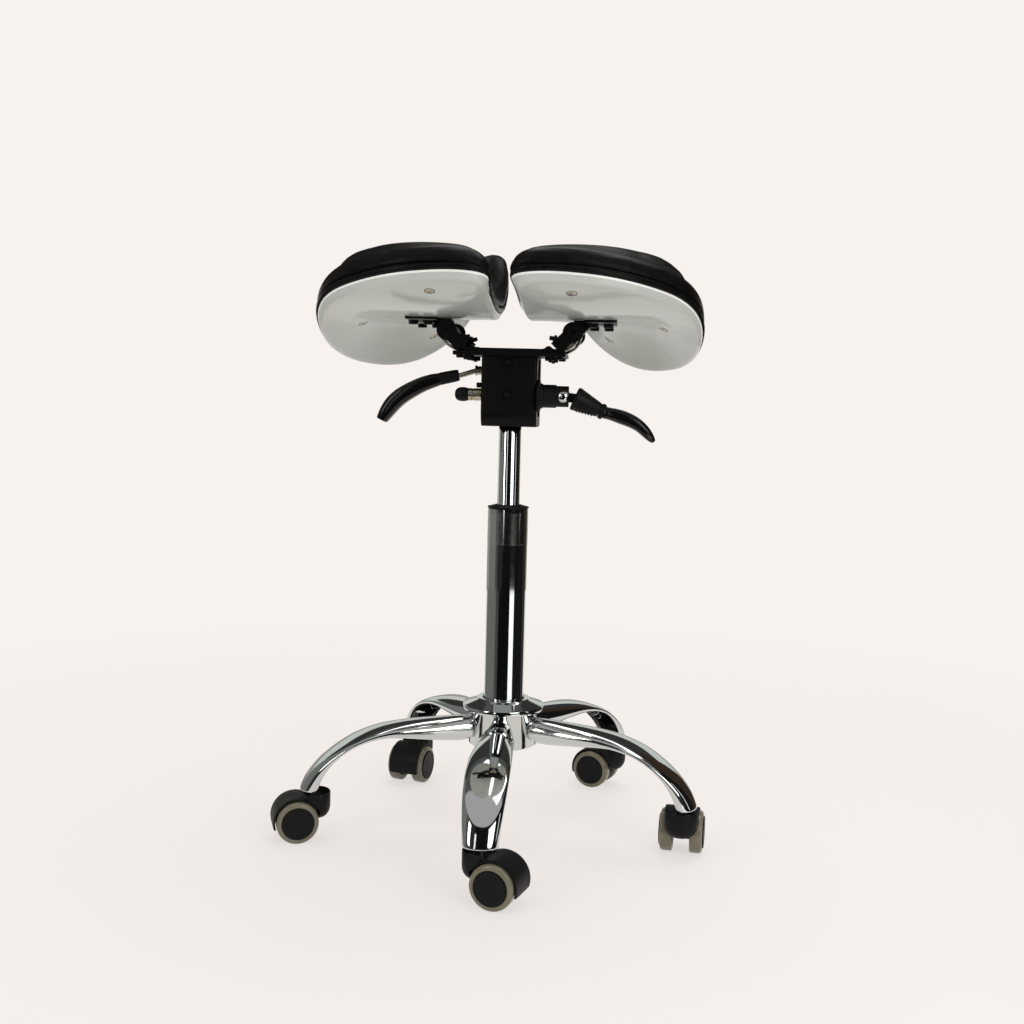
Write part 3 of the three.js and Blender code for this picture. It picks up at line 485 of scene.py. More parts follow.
glow = add_node(world.node_tree, "ShaderNodeMapRange", {
    "Value": seen_directly(world.node_tree), "To Min": 0.6, "To Max": 1.0})
world.node_tree.links.new(glow.outputs["Result"], backdrop.inputs["Strength"])

# %% Floor
LIT_NEAR, GLOWS_FAR = 0.45, 1.5     # metres from the column, between which the glow takes over

white_sweep, tree, shader, place = start_finish("white_sweep", Roughness=0.6, Base_Color=colour("#efe8e6"),
                                                Specular_IOR_Level=0.2)
paper = add_node(tree, "ShaderNodeEmission", {"Color": colour(PAPER), "Strength": 1.0})
away = add_node(tree, "ShaderNodeVectorMath", {0: place}, operation="LENGTH")
fade = add_node(tree, "ShaderNodeMapRange", {
    "Value": away.outputs["Value"], "From Min": LIT_NEAR, "From Max": GLOWS_FAR, "To Min": 0.7, "To Max": 1.0})
share = add_node(tree, "ShaderNodeMath", {0: seen_directly(tree), 1: fade.outputs["Result"]},
                 operation="MULTIPLY")
blend = add_node(tree, "ShaderNodeMixShader", {0: share.outputs[0], 1: shader.outputs[0],
                                               2: paper.outputs[0]})
tree.links.new(blend.outputs[0], tree.nodes["Material Output"].inputs["Surface"])


def stage_piece(name, bm, finish):
    thing = linked(name, bm, finish)
    return thing


floor_bm = bmesh.new()
bmesh.ops.create_circle(floor_bm, cap_ends=True, segments=96, radius=9)
stage_piece("floor", floor_bm, white_sweep)

# %% Lamps
ROOM = 1.95        # metres from the column to the cards
LENSWARD = math.atan2(EYE.y, EYE.x)
LAMP_AIM = 0.45    # height of the point that the lamps look at
LAMPS = (          # name, degrees right of the camera, distance, height, width and length in metres, watts
    ("lamp_left", -50.5, 1.85, 0.95, (0.33, 1.4), 8), ("lamp_right", 33.5, 1.85, 0.9, (0.87, 1.5), 14),
    ("lamp_top", 150, 0.5, 2.1, (1.6, 1.2), 18))

for name, right, distance, height, size, watts in LAMPS:
    light = bpy.data.lights.new(name, "AREA")
    light.shape = "RECTANGLE"
    light.size, light.size_y = size
    light.energy = watts
    lamp = bpy.data.objects.new(name, light)
    scene.collection.objects.link(lamp)
    angle = LENSWARD + math.radians(right)
    spot = column_foot + Vector((math.cos(angle) * distance, math.sin(angle) * distance, height))
    aim = column_foot + Vector((0, 0, LAMP_AIM))
    lamp.matrix_world = Matrix.Translation(spot) @ (aim - spot).to_track_quat("-Z", "Y").to_matrix().to_4x4()
print("lamps", len(LAMPS))

# %% Cards that only reflections see
PALE, WARM, TOP = "#f4f6f0", "#a88a72", 2.3
CARDS = (    # from and to in degrees right of the camera, lower and upper edge, hex colour, brightness
    (-125, -70, 0, TOP, PALE, 0.24), (-70, -56, 0, TOP, PALE, 0.1), (-56, -26, 0, TOP, PALE, 0.03),
    (-26, 68, 0, TOP, PALE, 0.008), (68, 108, 0, TOP, PALE, 0.012), (108, 140, 0, TOP, WARM, 0.12),
    (140, 235, 0, 0.42, PALE, 0.4), (140, 235, 0.42, 0.95, PALE, 0.8), (140, 235, 0.95, TOP, PALE, 0.05))
STRIPS = ((-26, -21, 0.2, 1.5, "#ffffff", 1.5), (69, 74, 0.25, 1.5, "#ffffff", 1.2))
FLOOR_CARDS = ((-140, -60, 0.2), (-60, -42, 0.08), (-42, 21, 0.006), (21, 47, 1.7), (47, 110, 0.012),
               (110, 140, 0.05))
CEILING = ((-100, 80, 0.5), (80, 260, 0.1))
INNER = 0.6      # metres from the column, where the white floor ends for the reflections
CARD_STEP = 5    # degrees of a card between two of its upright edges


def sector(name, line, start, end, tone, brightness):
    """A line of (distance, height) in metres, spun about the column, that glows for mirrors only."""
    glowing = bpy.data.materials.new(name)
    glowing.use_nodes = True
    tree = glowing.node_tree
    tree.nodes.remove(tree.nodes["Principled BSDF"])
    light = add_node(tree, "ShaderNodeEmission", {"Color": colour(tone), "Strength": brightness})
    tree.links.new(light.outputs[0], tree.nodes["Material Output"].inputs["Surface"])
    bm = bmesh.new()
    points = [bm.verts.new((x, 0, z)) for x, z in line]
    edges = [bm.edges.new(pair) for pair in zip(points, points[1:])]
    bmesh.ops.rotate(bm, verts=points, matrix=Matrix.Rotation(LENSWARD + math.radians(start), 3, "Z"))
    bmesh.ops.spin(bm, geom=points + edges, axis=(0, 0, 1), cent=(0, 0, 0), angle=math.radians(end - start),
                   steps=max(1, round((end - start) / CARD_STEP)), use_merge=False)
    card = stage_piece(name, bm, glowing)
    card.visible_camera = card.visible_diffuse = card.visible_shadow = False


for i, (start, end, low, high, tone, brightness) in enumerate(CARDS):
    sector(f"card_{i}", ((ROOM, low), (ROOM, high)), start, end, tone, brightness)
for i, (start, end, low, high, tone, brightness) in enumerate(STRIPS):
    sector(f"strip_{i}", ((ROOM - 0.02, low), (ROOM - 0.02, high)), start, end, tone, brightness)
for i, (start, end, brightness) in enumerate(FLOOR_CARDS):
    sector(f"floor_card_{i}", ((INNER, 0.004), (ROOM, 0.004)), start, end, "#f8faf6", brightness)
for i, (start, end, brightness) in enumerate(CEILING):
    sector(f"ceiling_{i}", ((0.001, TOP), (ROOM, TOP)), start, end, "#ffffff", brightness)
print("cards", len(CARDS) + len(STRIPS) + len(FLOOR_CARDS) + len(CEILING))

# %% [markdown]
# ## Wheels
# Each caster has twin wheels. A wheel is two turned parts: a tread of soft polyurethane like a thick
# tyre, and a black nylon disc that is proud of it and slightly domed. Both profiles run from the
# wheel's inner face outwards. The record's joints say where each axle lies and how it points, so the
# wheels are placed from them.

# %% Wheels
WHEEL_INSET = 10.5      # from the caster's middle to the wheel's inner face
TREAD = ((19.5, 0.8), (24, 0), (25.2, 0.5), (25.6, 1.6), (25.6, 11.2), (25.3, 12.6), (24.5, 13.8),
         (23.2, 14.7), (21.8, 15.1), (20.4, 15.1), (19.8, 14.8), (19.5, 14), (19.5, 0.8))
DISC = ((3.3, 0.5), (19.3, 0.5), (19.3, 15.7), (19, 16.3), (18.4, 16.6), (17.6, 16.4), (10, 16.8), (0, 17))

joints = {joint["name"]: joint for joint in frame["joints"]}
casters = []
for number in range(1, 6):
    stem_at = Vector(joints[f"caster_swivel_{number}"]["pos_m"]) - column_foot
    axle_at = Vector(joints[f"wheel_spin_{number}a"]["pos_m"]) - column_foot
    trail = Vector((axle_at.x - stem_at.x, axle_at.y - stem_at.y, 0)).normalized()
    casters.append((number, stem_at, axle_at, trail))
    for letter in "ab":
        low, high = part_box(f"caster_wheel_{number}{letter}")
        middle = (low + high) / 2 - column_foot
        across = (middle - stem_at).cross(trail).z
        outward = Vector((trail.y, -trail.x, 0)) * math.copysign(1, across)
        axle_foot = stem_at + trail * (middle - stem_at).dot(trail)
        axle_foot.z = middle.z
        stand = Matrix.Translation(axle_foot + outward * WHEEL_INSET * MM) @ facing(outward)
        for part, profile, finish, slot in (("tread", TREAD, tread_polyurethane, "tread"),
                                            ("disc", DISC, moulded_nylon, "black_plastic")):
            make_piece(f"wheel_{part}_{number}{letter}", placed(turned(profile, 64), stand),
                       f"wheel_{number}{letter}", finish, replaces=[f"caster_wheel_{number}{letter}"])
print("wheels", len(casters) * 2, "axle height", round(axle_foot.z, 4))

# %% [markdown]
# ## Caster hoods
# A hood is one moulding of matt nylon. A cowl arches over the gap between the wheels, and a tower in
# front of it holds the stem. The tower is an open cup on top, where the leg's end stands in it, and
# it is round below, like the bow of a boat. Its front half is turned as a bowl and cut in the middle,
# and the section that the cut shows is extruded backwards to the cowl. The cowl is a flat bar that is
# swept round the axle, and the web between the wheels is a slice of the CAD solid.

# %% Hoods
HOOD_HALF = 20          # half its width, at the tower
TOWER_FRONT = 19.5      # from the stem to the tower's front
TOWER_BACK = -4.4       # where the bowl ends, from the stem, clear of the wheels
SIDES_BACK = 13         # where its sides end
FOOT, FOOT_CORNER = 25.8, 15
HOOD_TOP, CUP_FLOOR, CUP_WALL = 57.7, 51, 2
COWL_RADIUS, COWL_WALL, COWL_HALF = 28, 3, 20.8
COWL_ARC = range(-16, 151, 6)       # degrees round the axle, from the back up and forwards
WEB_HALF = 10
EASE = 0.5              # the cup's edge is rounded by about this much
SLOPE_POINT, SLOPE_SIDE = (0, 0, 38), (0.749, 0, -0.663)    # cuts the sides' lower back corners off


def without(bm, point, direction):
    """Cuts with a plane, drops the side that the direction shows, and closes the cut with a face."""
    cut = bmesh.ops.bisect_plane(bm, geom=bm.verts[:] + bm.edges[:] + bm.faces[:], dist=SAME,
                                 plane_co=Vector(point) * MM, plane_no=Vector(direction),
                                 clear_outer=True)["geom_cut"]
    bmesh.ops.holes_fill(bm, edges=edges_of(cut))


def tower():
    bend = [math.radians(15 * i) for i in range(7)]
    foot = [(HOOD_HALF - FOOT_CORNER * (1 - math.sin(a)), FOOT + FOOT_CORNER * (1 - math.cos(a)))
            for a in bend]
    inside = HOOD_HALF - CUP_WALL
    bm = turned([(0, FOOT), *foot, (HOOD_HALF, HOOD_TOP - 0.6), (HOOD_HALF - EASE, HOOD_TOP),
                 (inside + EASE, HOOD_TOP), (inside, HOOD_TOP - 0.6), (inside, CUP_FLOOR), (0, CUP_FLOOR)], 64)
    bmesh.ops.scale(bm, vec=((TOWER_FRONT + TOWER_BACK) / HOOD_HALF, 1, 1), verts=bm.verts)
    without(bm, (0, 0, 0), (1, 0, 0))
    sides = bm.copy()
    rest = [f for f in sides.faces if any(abs(v.co.x) > SAME for v in f.verts)]
    bmesh.ops.delete(sides, geom=rest, context="FACES")
    grown = bmesh.ops.extrude_face_region(sides, geom=sides.faces[:])["geom"]
    bmesh.ops.translate(sides, verts=verts_of(grown), vec=((SIDES_BACK - TOWER_BACK) * MM, 0, 0))
    without(sides, SLOPE_POINT, SLOPE_SIDE)
    whole = joined(bm, sides)
    bmesh.ops.translate(whole, verts=whole.verts, vec=(TOWER_BACK * MM, 0, 0))
    return whole


def cowl(axle_x, axle_z):
    rings = []
    for degrees in COWL_ARC:
        a = math.radians(degrees)
        outward, along = Vector((math.cos(a), 0, math.sin(a))), (-math.sin(a), 0, math.cos(a))
        centre = Vector((axle_x, 0, axle_z)) + outward * COWL_RADIUS
        rings.append(section(centre, along, (0, 1, 0), COWL_HALF, COWL_WALL / 2))
    return swept(rings, 32, 0.35)


for number, stem_at, axle_at, trail in casters:
    heading = Matrix.Translation((stem_at.x, stem_at.y, 0)) @ heading_to(trail)
    web = placed(copied(f"caster_hood_{number}"), heading.inverted())
    for point, direction in (((0, WEB_HALF, 0), (0, 1, 0)), ((0, -WEB_HALF, 0), (0, -1, 0)),
                             ((0, 0, CUP_FLOOR - 1), (0, 0, 1)), ((TOWER_BACK - 1, 0, 0), (-1, 0, 0))):
        without(web, point, direction)
    arch = cowl((axle_at - stem_at).dot(trail) / MM, axle_at.z / MM)
    make_piece(f"hood_{number}", placed(joined(tower(), arch, web), heading), f"caster_{number}",
               moulded_nylon, replaces=[f"caster_hood_{number}"])

# %% [markdown]
# ## Legs
# The five legs are pressed from steel sheet, welded to the hub and chrome plated with it. A leg leaves
# the hub as a round tube, widens and flattens to a channel that is open below, and curls down in an
# even arc to the caster. So a ring that is open below is extruded along the leg, and the sheet gets its
# thickness from a Solidify modifier. In the leg's first half a closed tube fills the opening.

# %% Legs
LEG_STOPS = (        # distance from the column, height, depth, width
    (40, 130.8, 32.6, 34.5), (61, 130.9, 32, 37.5), (81, 131.1, 29.4, 44), (100, 131.5, 26.6, 46.5),
    (120, 131.9, 22.8, 48.4), (138, 131.8, 18.6, 49.8), (155, 130, 15.6, 50.6), (172, 126, 12.6, 51.4),
    (188, 120, 10.8, 51.2), (202, 111.8, 10.8, 50.2), (214, 102.6, 13, 48.6), (224, 93.2, 16.4, 46.4),
    (231.5, 83, 20, 43.8), (237, 73, 23, 41.8), (241, 62, 26, 40.4), (244, 47, 28, 39))
LEG_SIDES, LEG_SQUARENESS = 32, 0.92
LEG_SHEET = 1.8
LEG_LIP = 0.6           # how far the lips turn in below the middle, as a share of half the depth
LEG_CUT = 61.8          # height of the leg's end
TUBE_STOPS = 7          # how many stops the closed part covers
TUBE_INSET = 0.5

for number, stem_at, axle_at, trail in casters:
    heading = heading_to(stem_at)
    leg = bar(LEG_STOPS, 0, LEG_SIDES, LEG_SQUARENESS, LEG_LIP)
    bmesh.ops.bisect_plane(leg, geom=leg.verts[:] + leg.edges[:] + leg.faces[:], plane_co=(0, 0, LEG_CUT * MM),
                           plane_no=(0, 0, -1), clear_outer=True)
    shell = make_piece(f"leg_shell_{number}", placed(leg, heading), "base", chrome_plate,
                       replaces=[f"leg_{number}"])
    sheet = shell.modifiers.new("sheet", "SOLIDIFY")
    sheet.thickness = LEG_SHEET * MM
    sheet.offset = -1
    smooth = shell.modifiers.new("smooth", "SUBSURF")
    smooth.levels = smooth.render_levels = 2
    tube = [(x, z, depth - TUBE_INSET, width - TUBE_INSET) for x, z, depth, width in LEG_STOPS[:TUBE_STOPS]]
    make_piece(f"leg_tube_{number}", placed(bar(tube, 0, LEG_SIDES, LEG_SQUARENESS), heading), "base",
               chrome_plate, levels=1)
print("leg faces", len(shell.data.polygons))

# %% [markdown]
# ## Hub and column
# The hub is turned: a cup that takes the legs, a conical flange over it and a collar round the column.
# The column is a chrome tube with a plain film band and a black bush that shows as a thin collar. The
# gas cylinder slides in the bush, so it goes deep down into the tube and is hollow for the piston rod.

# %% Hub
HUB = ((25.9, 112), (41, 110), (42.6, 111), (43, 113), (43, 153), (43.6, 154.6), (49.8, 154.8), (50.8, 155.2),
       (51, 155.8), (51, 160.4), (50.6, 161), (49.8, 161.3), (36, 166.2), (34.4, 167), (32.8, 168.6), (31.8, 169),
       (27, 169), (26.3, 168.6), (25.9, 167.6), (25.9, 112))
make_piece("hub_shell", turned(HUB, 96), "base", chrome_plate, replaces=["base_hub"])

# %% Column
TUBE = ((5.3, 114), (22, 114), (23, 117), (25, 118.5), (25, 408.2), (24.3, 409), (22.5, 409), (22.5, 123),
        (5.3, 123), (5.3, 114))
make_piece("column_shell", turned(TUBE, 96), "base", chrome_plate, replaces=["column_tube"])
BAND = ((25.02, 365), (25.15, 365.1), (25.15, 403.9), (25.02, 404))
make_piece("column_band", turned(BAND, 96), "base", film_band)
COLLAR = ((14.3, 383), (22.2, 383), (22.2, 409.3), (25.3, 409.3), (25.9, 409.8), (25.7, 411), (17, 413.2),
          (15.6, 413.8), (14.3, 413.8), (14.3, 383))
make_piece("column_collar", turned(COLLAR, 96), "base", moulded_nylon,
           replaces=["column_guide_bush"])
CYLINDER = ((0, 505), (10.5, 505), (10.5, 267.8), (5.3, 267.8), (5.3, 255.8), (13.4, 255.8), (13.9, 256.4),
            (13.9, 513), (12.9, 515), (12.9, 545), (4.3, 545), (4.3, 536), (0, 536))
make_piece("cylinder_shell", turned(CYLINDER, 72), "core", chrome_plate, replaces=["gas_cylinder"])

# %% [markdown]
# ## Tilt housing
# The housing is bent from one sheet of steel and powder coated. The CAD solid already curves at its
# foot. Its upright rear corners are press-brake bends too, so on a merged copy of the solid they get
# a radius of their own, and all other edges a small one. Two button-head rivets hold the socket inside.

# %% Housing
CORNER_BEND = 3.5
FOOT_REACH = 24 * MM      # how far the bent foot reaches in from the rear
LARGE_FACE = 1e-5         # square metres; a corner's edge borders a face larger than this
CORNER_TURN = 1.2         # radians between the faces of a corner's edge, at least
housing = copied("tilt_housing")
low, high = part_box("tilt_housing")
half_width, rear_y = (high.x - low.x) / 2, low.y - column_foot.y


def is_rear_corner(edge):
    """Both ends lie on the same outer side, at the rear, and the edge is sharp beside a large face."""
    ends = [v.co for v in edge.verts]
    return (all(abs(abs(end.x) - half_width) < 0.01 * MM and end.y < rear_y + FOOT_REACH for end in ends)
            and ends[0].x * ends[1].x > 0 and max(f.calc_area() for f in edge.link_faces) > LARGE_FACE
            and edge.calc_face_angle(0) > CORNER_TURN)


corners = [e for e in housing.edges if is_rear_corner(e)]
bmesh.ops.bevel(housing, geom=corners, offset=CORNER_BEND * MM, offset_type="OFFSET", segments=6, profile=0.5,
                affect="EDGES", material=-1)
make_piece("housing_shell", housing, "seat_frame", powder_coat,
           replaces=["tilt_housing"], bevel=0.6)
print("bent corner edges", len(corners))
# %% Rivets and the side screw
RIVET = ((0, 0), (6.4, 0), (6.4, 1), (6, 1.3), (5.5, 1.2), (5.1, 0.4), (4.7, 0.4), (4.6, 1.7), (3.9, 2.7),
         (2.4, 3.2), (0, 3.4))
RIVET_PLACES = ((-2, -34.6, 588), (-2, -34.6, 549.2))
SIDE_SCREW = ((0, 0), (3.6, 0), (3.6, 6), (2.8, 6.8), (0, 6.8))
SHAFT_Y, SHAFT_Z = -24, 549
rivets = [placed(turned(RIVET, 32), standing(place, (0, -1, 0))) for place in RIVET_PLACES]
side_screw = placed(turned(SIDE_SCREW, 6), standing((-33.6, SHAFT_Y, 560.5), (-1, 0, 0)))
make_piece("housing_rivets", joined(*rivets, side_screw), "seat_frame", powder_coat)

# %% [markdown]
# ## Nut and rubber cap on the left
# The tilt shaft comes out of the housing's left side, where a zinc plated sleeve nut locks it and a
# rounded black cap hides its end.

# %% Nut and cap
NUT = ((4.3, 34.3), (7.6, 34.3), (7.6, 43.4), (7.1, 43.9), (7.1, 45.2), (7.6, 45.7), (7.6, 49.6), (7, 50.2),
       (4.3, 50.2), (4.3, 34.3))
CAP = ((4.3, 50.6), (7.6, 50.6), (8, 51), (8, 53.2), (8.6, 53.8), (8.7, 57.5), (8.4, 60.5), (7.4, 63.4), (5.4, 65.6),
       (2.8, 66.6), (0, 66.8), (0, 59), (4.3, 59), (4.3, 50.6))
left_of_shaft = standing((0, SHAFT_Y, SHAFT_Z), (-1, 0, 0))
make_piece("lock_nut_sleeve", placed(turned(NUT, 48), left_of_shaft), "core", zinc_plate,
           replaces=["tilt_lock_nut"])
make_piece("rubber_cap", placed(turned(CAP, 48), left_of_shaft), "core", moulded_nylon,
           replaces=["tilt_end_cap"])

# %% [markdown]
# ## Clamp sleeve, boot and paddle
# On the right a moulded sleeve with a flange slides on the shaft and ends in a fork. A domed chrome pin
# holds the clamp lever in it: a conical boot with ribs below, a ring, and a curved glossy paddle.

# %% Clamp
FLANGE = ((8, 34.4), (19.2, 34.4), (19.7, 34.9), (19.7, 37.2), (19.2, 37.8), (15.6, 38.2), (15.2, 40), (14.8, 41),
          (8, 41), (8, 34.4))
right_of_shaft = standing((0, SHAFT_Y, SHAFT_Z), (1, 0, 0))
sleeve = joined(copied("clamp_sleeve"), placed(turned(FLANGE, 64), right_of_shaft))
make_piece("sleeve_shell", sleeve, "core", moulded_nylon, replaces=["clamp_sleeve"], bevel=0.8)

PIN_X = 66.3
PIN_HEAD = ((0, 14.2), (7, 14.2), (7, 15), (6.2, 16.4), (4.2, 17.7), (2, 18.3), (0, 18.4))
pin_stand = standing((PIN_X, SHAFT_Y, SHAFT_Z), (0, -1, 0))
make_piece("pin_dome", placed(joined(turned(PIN_HEAD, 48), round_bar(5, -14, 14.2)), pin_stand), "core",
           chrome_plate, replaces=["clamp_pin"])

# %% Clamp lever
BOOT_STOPS = ((79.5, 547.5, 26, 26), (80.2, 547.2, 28.6, 28.2), (82.6, 546, 29.2, 29), (84.4, 545.2, 28.2, 28.2),
              (108.4, 534.4, 18, 18), (110.6, 533.4, 16.6, 16.8))
RIB_SHARES = (0.12, 0.26, 0.4, 0.54, 0.68, 0.82)     # where the ribs stand along the boot
RING_STOPS = ((110.4, 533.5, 17, 17), (111.4, 533.1, 19.6, 19), (115.4, 531.4, 19.6, 19), (116.4, 531, 17, 17))
PADDLE_STOPS = (
    (114.6, 531.6, 14.6, 15.4), (117, 530.9, 15.4, 17.4), (120, 530.2, 14.6, 19.4), (124, 529.6, 15.2, 21.1),
    (135.6, 526.5, 17.6, 24), (148.7, 522, 16.8, 24), (159.2, 516.2, 15, 23), (167.2, 508.6, 13.6, 20),
    (173.4, 501.4, 10.4, 15), (176.6, 497.6, 6, 9), (177.2, 496.8, 4, 6))
ROOT_STOPS = ((68, 548.6, 11.6, 10.4), (81, 547, 11.6, 10.4))       # the flat root between eye and boot
boot = bar(BOOT_STOPS, SHAFT_Y, 32)
ribs = []
for share in RIB_SHARES:
    x, z, depth = (start + (end - start) * share for start, end in zip(BOOT_STOPS[3][:3], BOOT_STOPS[4][:3]))
    ribs.append(bar(((x - 0.7, z - 0.6, depth, depth), (x + 0.9, z - 1.3, depth, depth)), SHAFT_Y, 32))
eye = placed(round_bar(8.4, -5.2, 5.2), standing((PIN_X, SHAFT_Y, SHAFT_Z), (0, 1, 0)))
root = bar(ROOT_STOPS, SHAFT_Y, 16, 0.4)
make_piece("boot_cone", joined(boot, eye, root, *ribs), "clamp_lever", moulded_nylon,
           replaces=["clamp_lever"])
make_piece("boot_ring", bar(RING_STOPS, SHAFT_Y, 32), "clamp_lever", moulded_nylon, levels=1)
make_piece("clamp_paddle", bar(PADDLE_STOPS, SHAFT_Y, 24, 0.75), "clamp_lever", polished_nylon,
           levels=2)

# %% [markdown]
# ## Height lever
# A bent, zinc plated rod comes out of the housing's left side through a washer. Its grip is one
# moulding: a straight sleeve over the rod and a curved paddle that ends in a flat cut.

# %% Height lever
ROD_Z, ROD = 578, 6.4      # the rod's height inside the housing and its diameter
ROD_STOPS = [(x, z, ROD, ROD) for x, z in (
    (4, ROD_Z), (-42.5, ROD_Z), (-46, 577.6), (-50, 576.4), (-66.4, 571.1), (-76, 568))]
GRIP_SLEEVE = ((-65.4, 572.4, 13.4, 13.4), (-66, 572.3, 15, 15), (-82.5, 568.8, 15.6, 15.4),
               (-90, 566.8, 15.8, 15.6), (-91, 566.5, 14, 14))
GRIP_STOPS = (
    (-84, 568.2, 13.6, 13.2), (-90, 566.8, 15.6, 15.4), (-98.2, 564.6, 17.6, 17), (-110.5, 560.5, 18.8, 20.2),
    (-126.5, 552, 20.5, 24), (-138.5, 544.5, 21.2, 24), (-147.8, 535.8, 21.2, 24), (-155.1, 525.7, 19.4, 23),
    (-160.4, 517, 15.4, 20), (-161.4, 514.8, 14.4, 19), (-161.6, 514.4, 13.6, 18))
WASHER = ((3.6, 34.2), (5.4, 34.2), (5.4, 43), (6.4, 43), (6.4, 45), (3.6, 45), (3.6, 34.2))
fulcrum = placed(round_bar(2.4, -6.8, 6.8, 16), standing((-20, 0, ROD_Z), (0, 1, 0)))
make_piece("lever_rod", joined(bar(ROD_STOPS, 0, 20), fulcrum), "height_lever", zinc_plate,
           replaces=["height_lever_rod"])
make_piece("rod_washer", placed(turned(WASHER, 32), standing((0, 0, 578.6), (-1, 0, 0))), "height_lever",
           zinc_plate)
make_piece("grip_sleeve", bar(GRIP_SLEEVE, 0, 24, 0.85), "height_lever", moulded_nylon, levels=1)
make_piece("height_paddle", bar(GRIP_STOPS, 0, 24, 0.75), "height_lever", polished_nylon,
           replaces=["height_lever_grip"], levels=2)

# %% [markdown]
# ## Seat carrier
# A cross plate on the housing carries an arm, a hinge and a bracket at each side, all of sheet and bar
# steel with powder coat. These come from the CAD solids. The rest is hardware at both ends of each
# hinge: a link with a round eye, a socket screw, a curved strap, a clamp screw and some bolts. It is
# modelled once, for the right side, and mirrored to the other side and the other end.

# %% Carrier
make_piece("cross_plate", copied("seat_plate"), "seat_frame", powder_coat,
           replaces=["seat_plate"], bevel=0.8)
hinge = Vector(joints["seat_half_swing_right"]["pos_m"]) - column_foot
HINGE_X, HINGE_Z = abs(hinge.x) / MM, hinge.z / MM
LINK_Y, LINK_THICK, LINK_WIDTH, EYE_RADIUS = 41.8, 2.8, 17, 12.4
SOCKET_SCREW = ((0, 0.6), (3.3, 0.6), (3.3, 3.2), (6.4, 3.2), (7.1, 2.5), (7.1, 0), (0, 0))
FOOT_Z, BRACKET_Z, UNDER_Z = 605.6, 637, 596.3      # heights that bolts and nuts stand on
BOLT_X, NUT_X, SMALL_NUT_X, BRACKET_BOLTS_X = 47, 49.3, 60.5, (100, 118)
STUB = ((0, 0), (5, 0), (5, 2.6), (2.7, 3), (2.7, 13.4), (2, 14.4), (0, 14.4))
STUB_WAY = (-0.97, 0, 0.2)                          # the clamp screw leans up towards the middle
SCREW_RING = ((7, 0), (9.2, 0), (9.2, 1), (8.6, 1.5), (7, 1.5), (7, 0))
BOLT_END = ((0, 4.6), (2.2, 4.6), (2.2, 6.2), (0, 6.4))


def hexagon(across, high):
    radius = across / math.sqrt(3)
    return turned(((0, 0), (radius, 0), (radius, high * 0.85), (radius * 0.86, high), (0, high)), 6)


def dome(radius, high):
    return turned([(0, 0)] + [(radius * math.cos(math.radians(a)), high * math.sin(math.radians(a)))
                              for a in (0, 15, 30, 45, 60, 75)] + [(0, high)], 32)


def frame_hardware():
    """What the cross plate carries at one end of one hinge."""
    y, up, down, rearward = LINK_Y, (0, 0, 1), (0, 0, -1), (0, 1, 0)
    outer = (HINGE_X, y + LINK_THICK / 2, HINGE_Z)
    shank = ((HINGE_X - 2, HINGE_Z - 2, LINK_WIDTH, LINK_THICK), (56, 606, LINK_WIDTH, LINK_THICK))
    return joined(
        placed(round_bar(EYE_RADIUS, 0, LINK_THICK, 48), standing((HINGE_X, y - LINK_THICK / 2, HINGE_Z), rearward)),
        bar(shank, y, 24, 0.3),
        placed(turned(SOCKET_SCREW, 32), standing(outer, rearward)),
        placed(turned(SCREW_RING, 48), standing(outer, rearward)),
        placed(turned(STUB, 24), standing((62, y - 4, 616), STUB_WAY)),
        placed(hexagon(9, 3.4), standing((56.5, y - 4, 617.2), STUB_WAY)),
        placed(joined(dome(4.6, 3.6), round_bar(6, -0.2, 0.8)), standing((BOLT_X, y - 8, FOOT_Z), up)),
        placed(hexagon(11, 5), standing((NUT_X, y - 8, UNDER_Z), down)),
        placed(hexagon(8, 3.4), standing((SMALL_NUT_X, y - 8, UNDER_Z), down)),
        placed(turned(BOLT_END, 16), standing((NUT_X, y - 8, UNDER_Z), down)))


def bracket_hardware():
    """What hangs on a bracket at one end: two hex bolts below its plate."""
    return joined(*(placed(joined(hexagon(10, 5.2), round_bar(6.2, 0, 0.9, 24)),
                           standing((x, LINK_Y - 7, BRACKET_Z), (0, 0, -1))) for x in BRACKET_BOLTS_X))


STRAP_STOPS = [(x, z, 3.4, 7) for x, z in (
    (83, 631), (84, 625.5), (83, 619), (79.6, 613), (74.6, 608), (69, 604.6), (63, 602.6))]
for hand, mirror_x in (("right", 1), ("left", -1)):
    make_piece(f"arm_{hand}", copied(f"lower_arm_{hand}"), "seat_frame", powder_coat,
               replaces=[f"lower_arm_{hand}"], bevel=0.6)
    make_piece(f"bracket_{hand}", copied(f"upper_bracket_{hand}"), f"seat_half_{hand}", powder_coat,
               replaces=[f"upper_bracket_{hand}"], bevel=0.5)
    shank = placed(round_bar(3.8, -42, 42, 24), standing((HINGE_X * mirror_x, 0, HINGE_Z), (0, 1, 0)))
    make_piece(f"hinge_screw_{hand}", shank, "seat_frame", zinc_plate, replaces=[f"hinge_bolt_{hand}"])
    for end, mirror_y in (("rear", -1), ("front", 1)):
        flip = Matrix.Diagonal((mirror_x, mirror_y, 1, 1))
        make_piece(f"hinge_hardware_{hand}_{end}", placed(frame_hardware(), flip), "seat_frame", powder_coat,
                   bevel=0.3)
        make_piece(f"hinge_strap_{hand}_{end}", placed(bar(STRAP_STOPS, LINK_Y - 5.5, 16, 0.4), flip), "seat_frame",
                   zinc_plate, levels=1)
        make_piece(f"bracket_bolts_{hand}_{end}", placed(bracket_hardware(), flip), f"seat_half_{hand}",
                   powder_coat)
print("hinge at", round(HINGE_X, 1), round(HINGE_Z, 1), "mm")

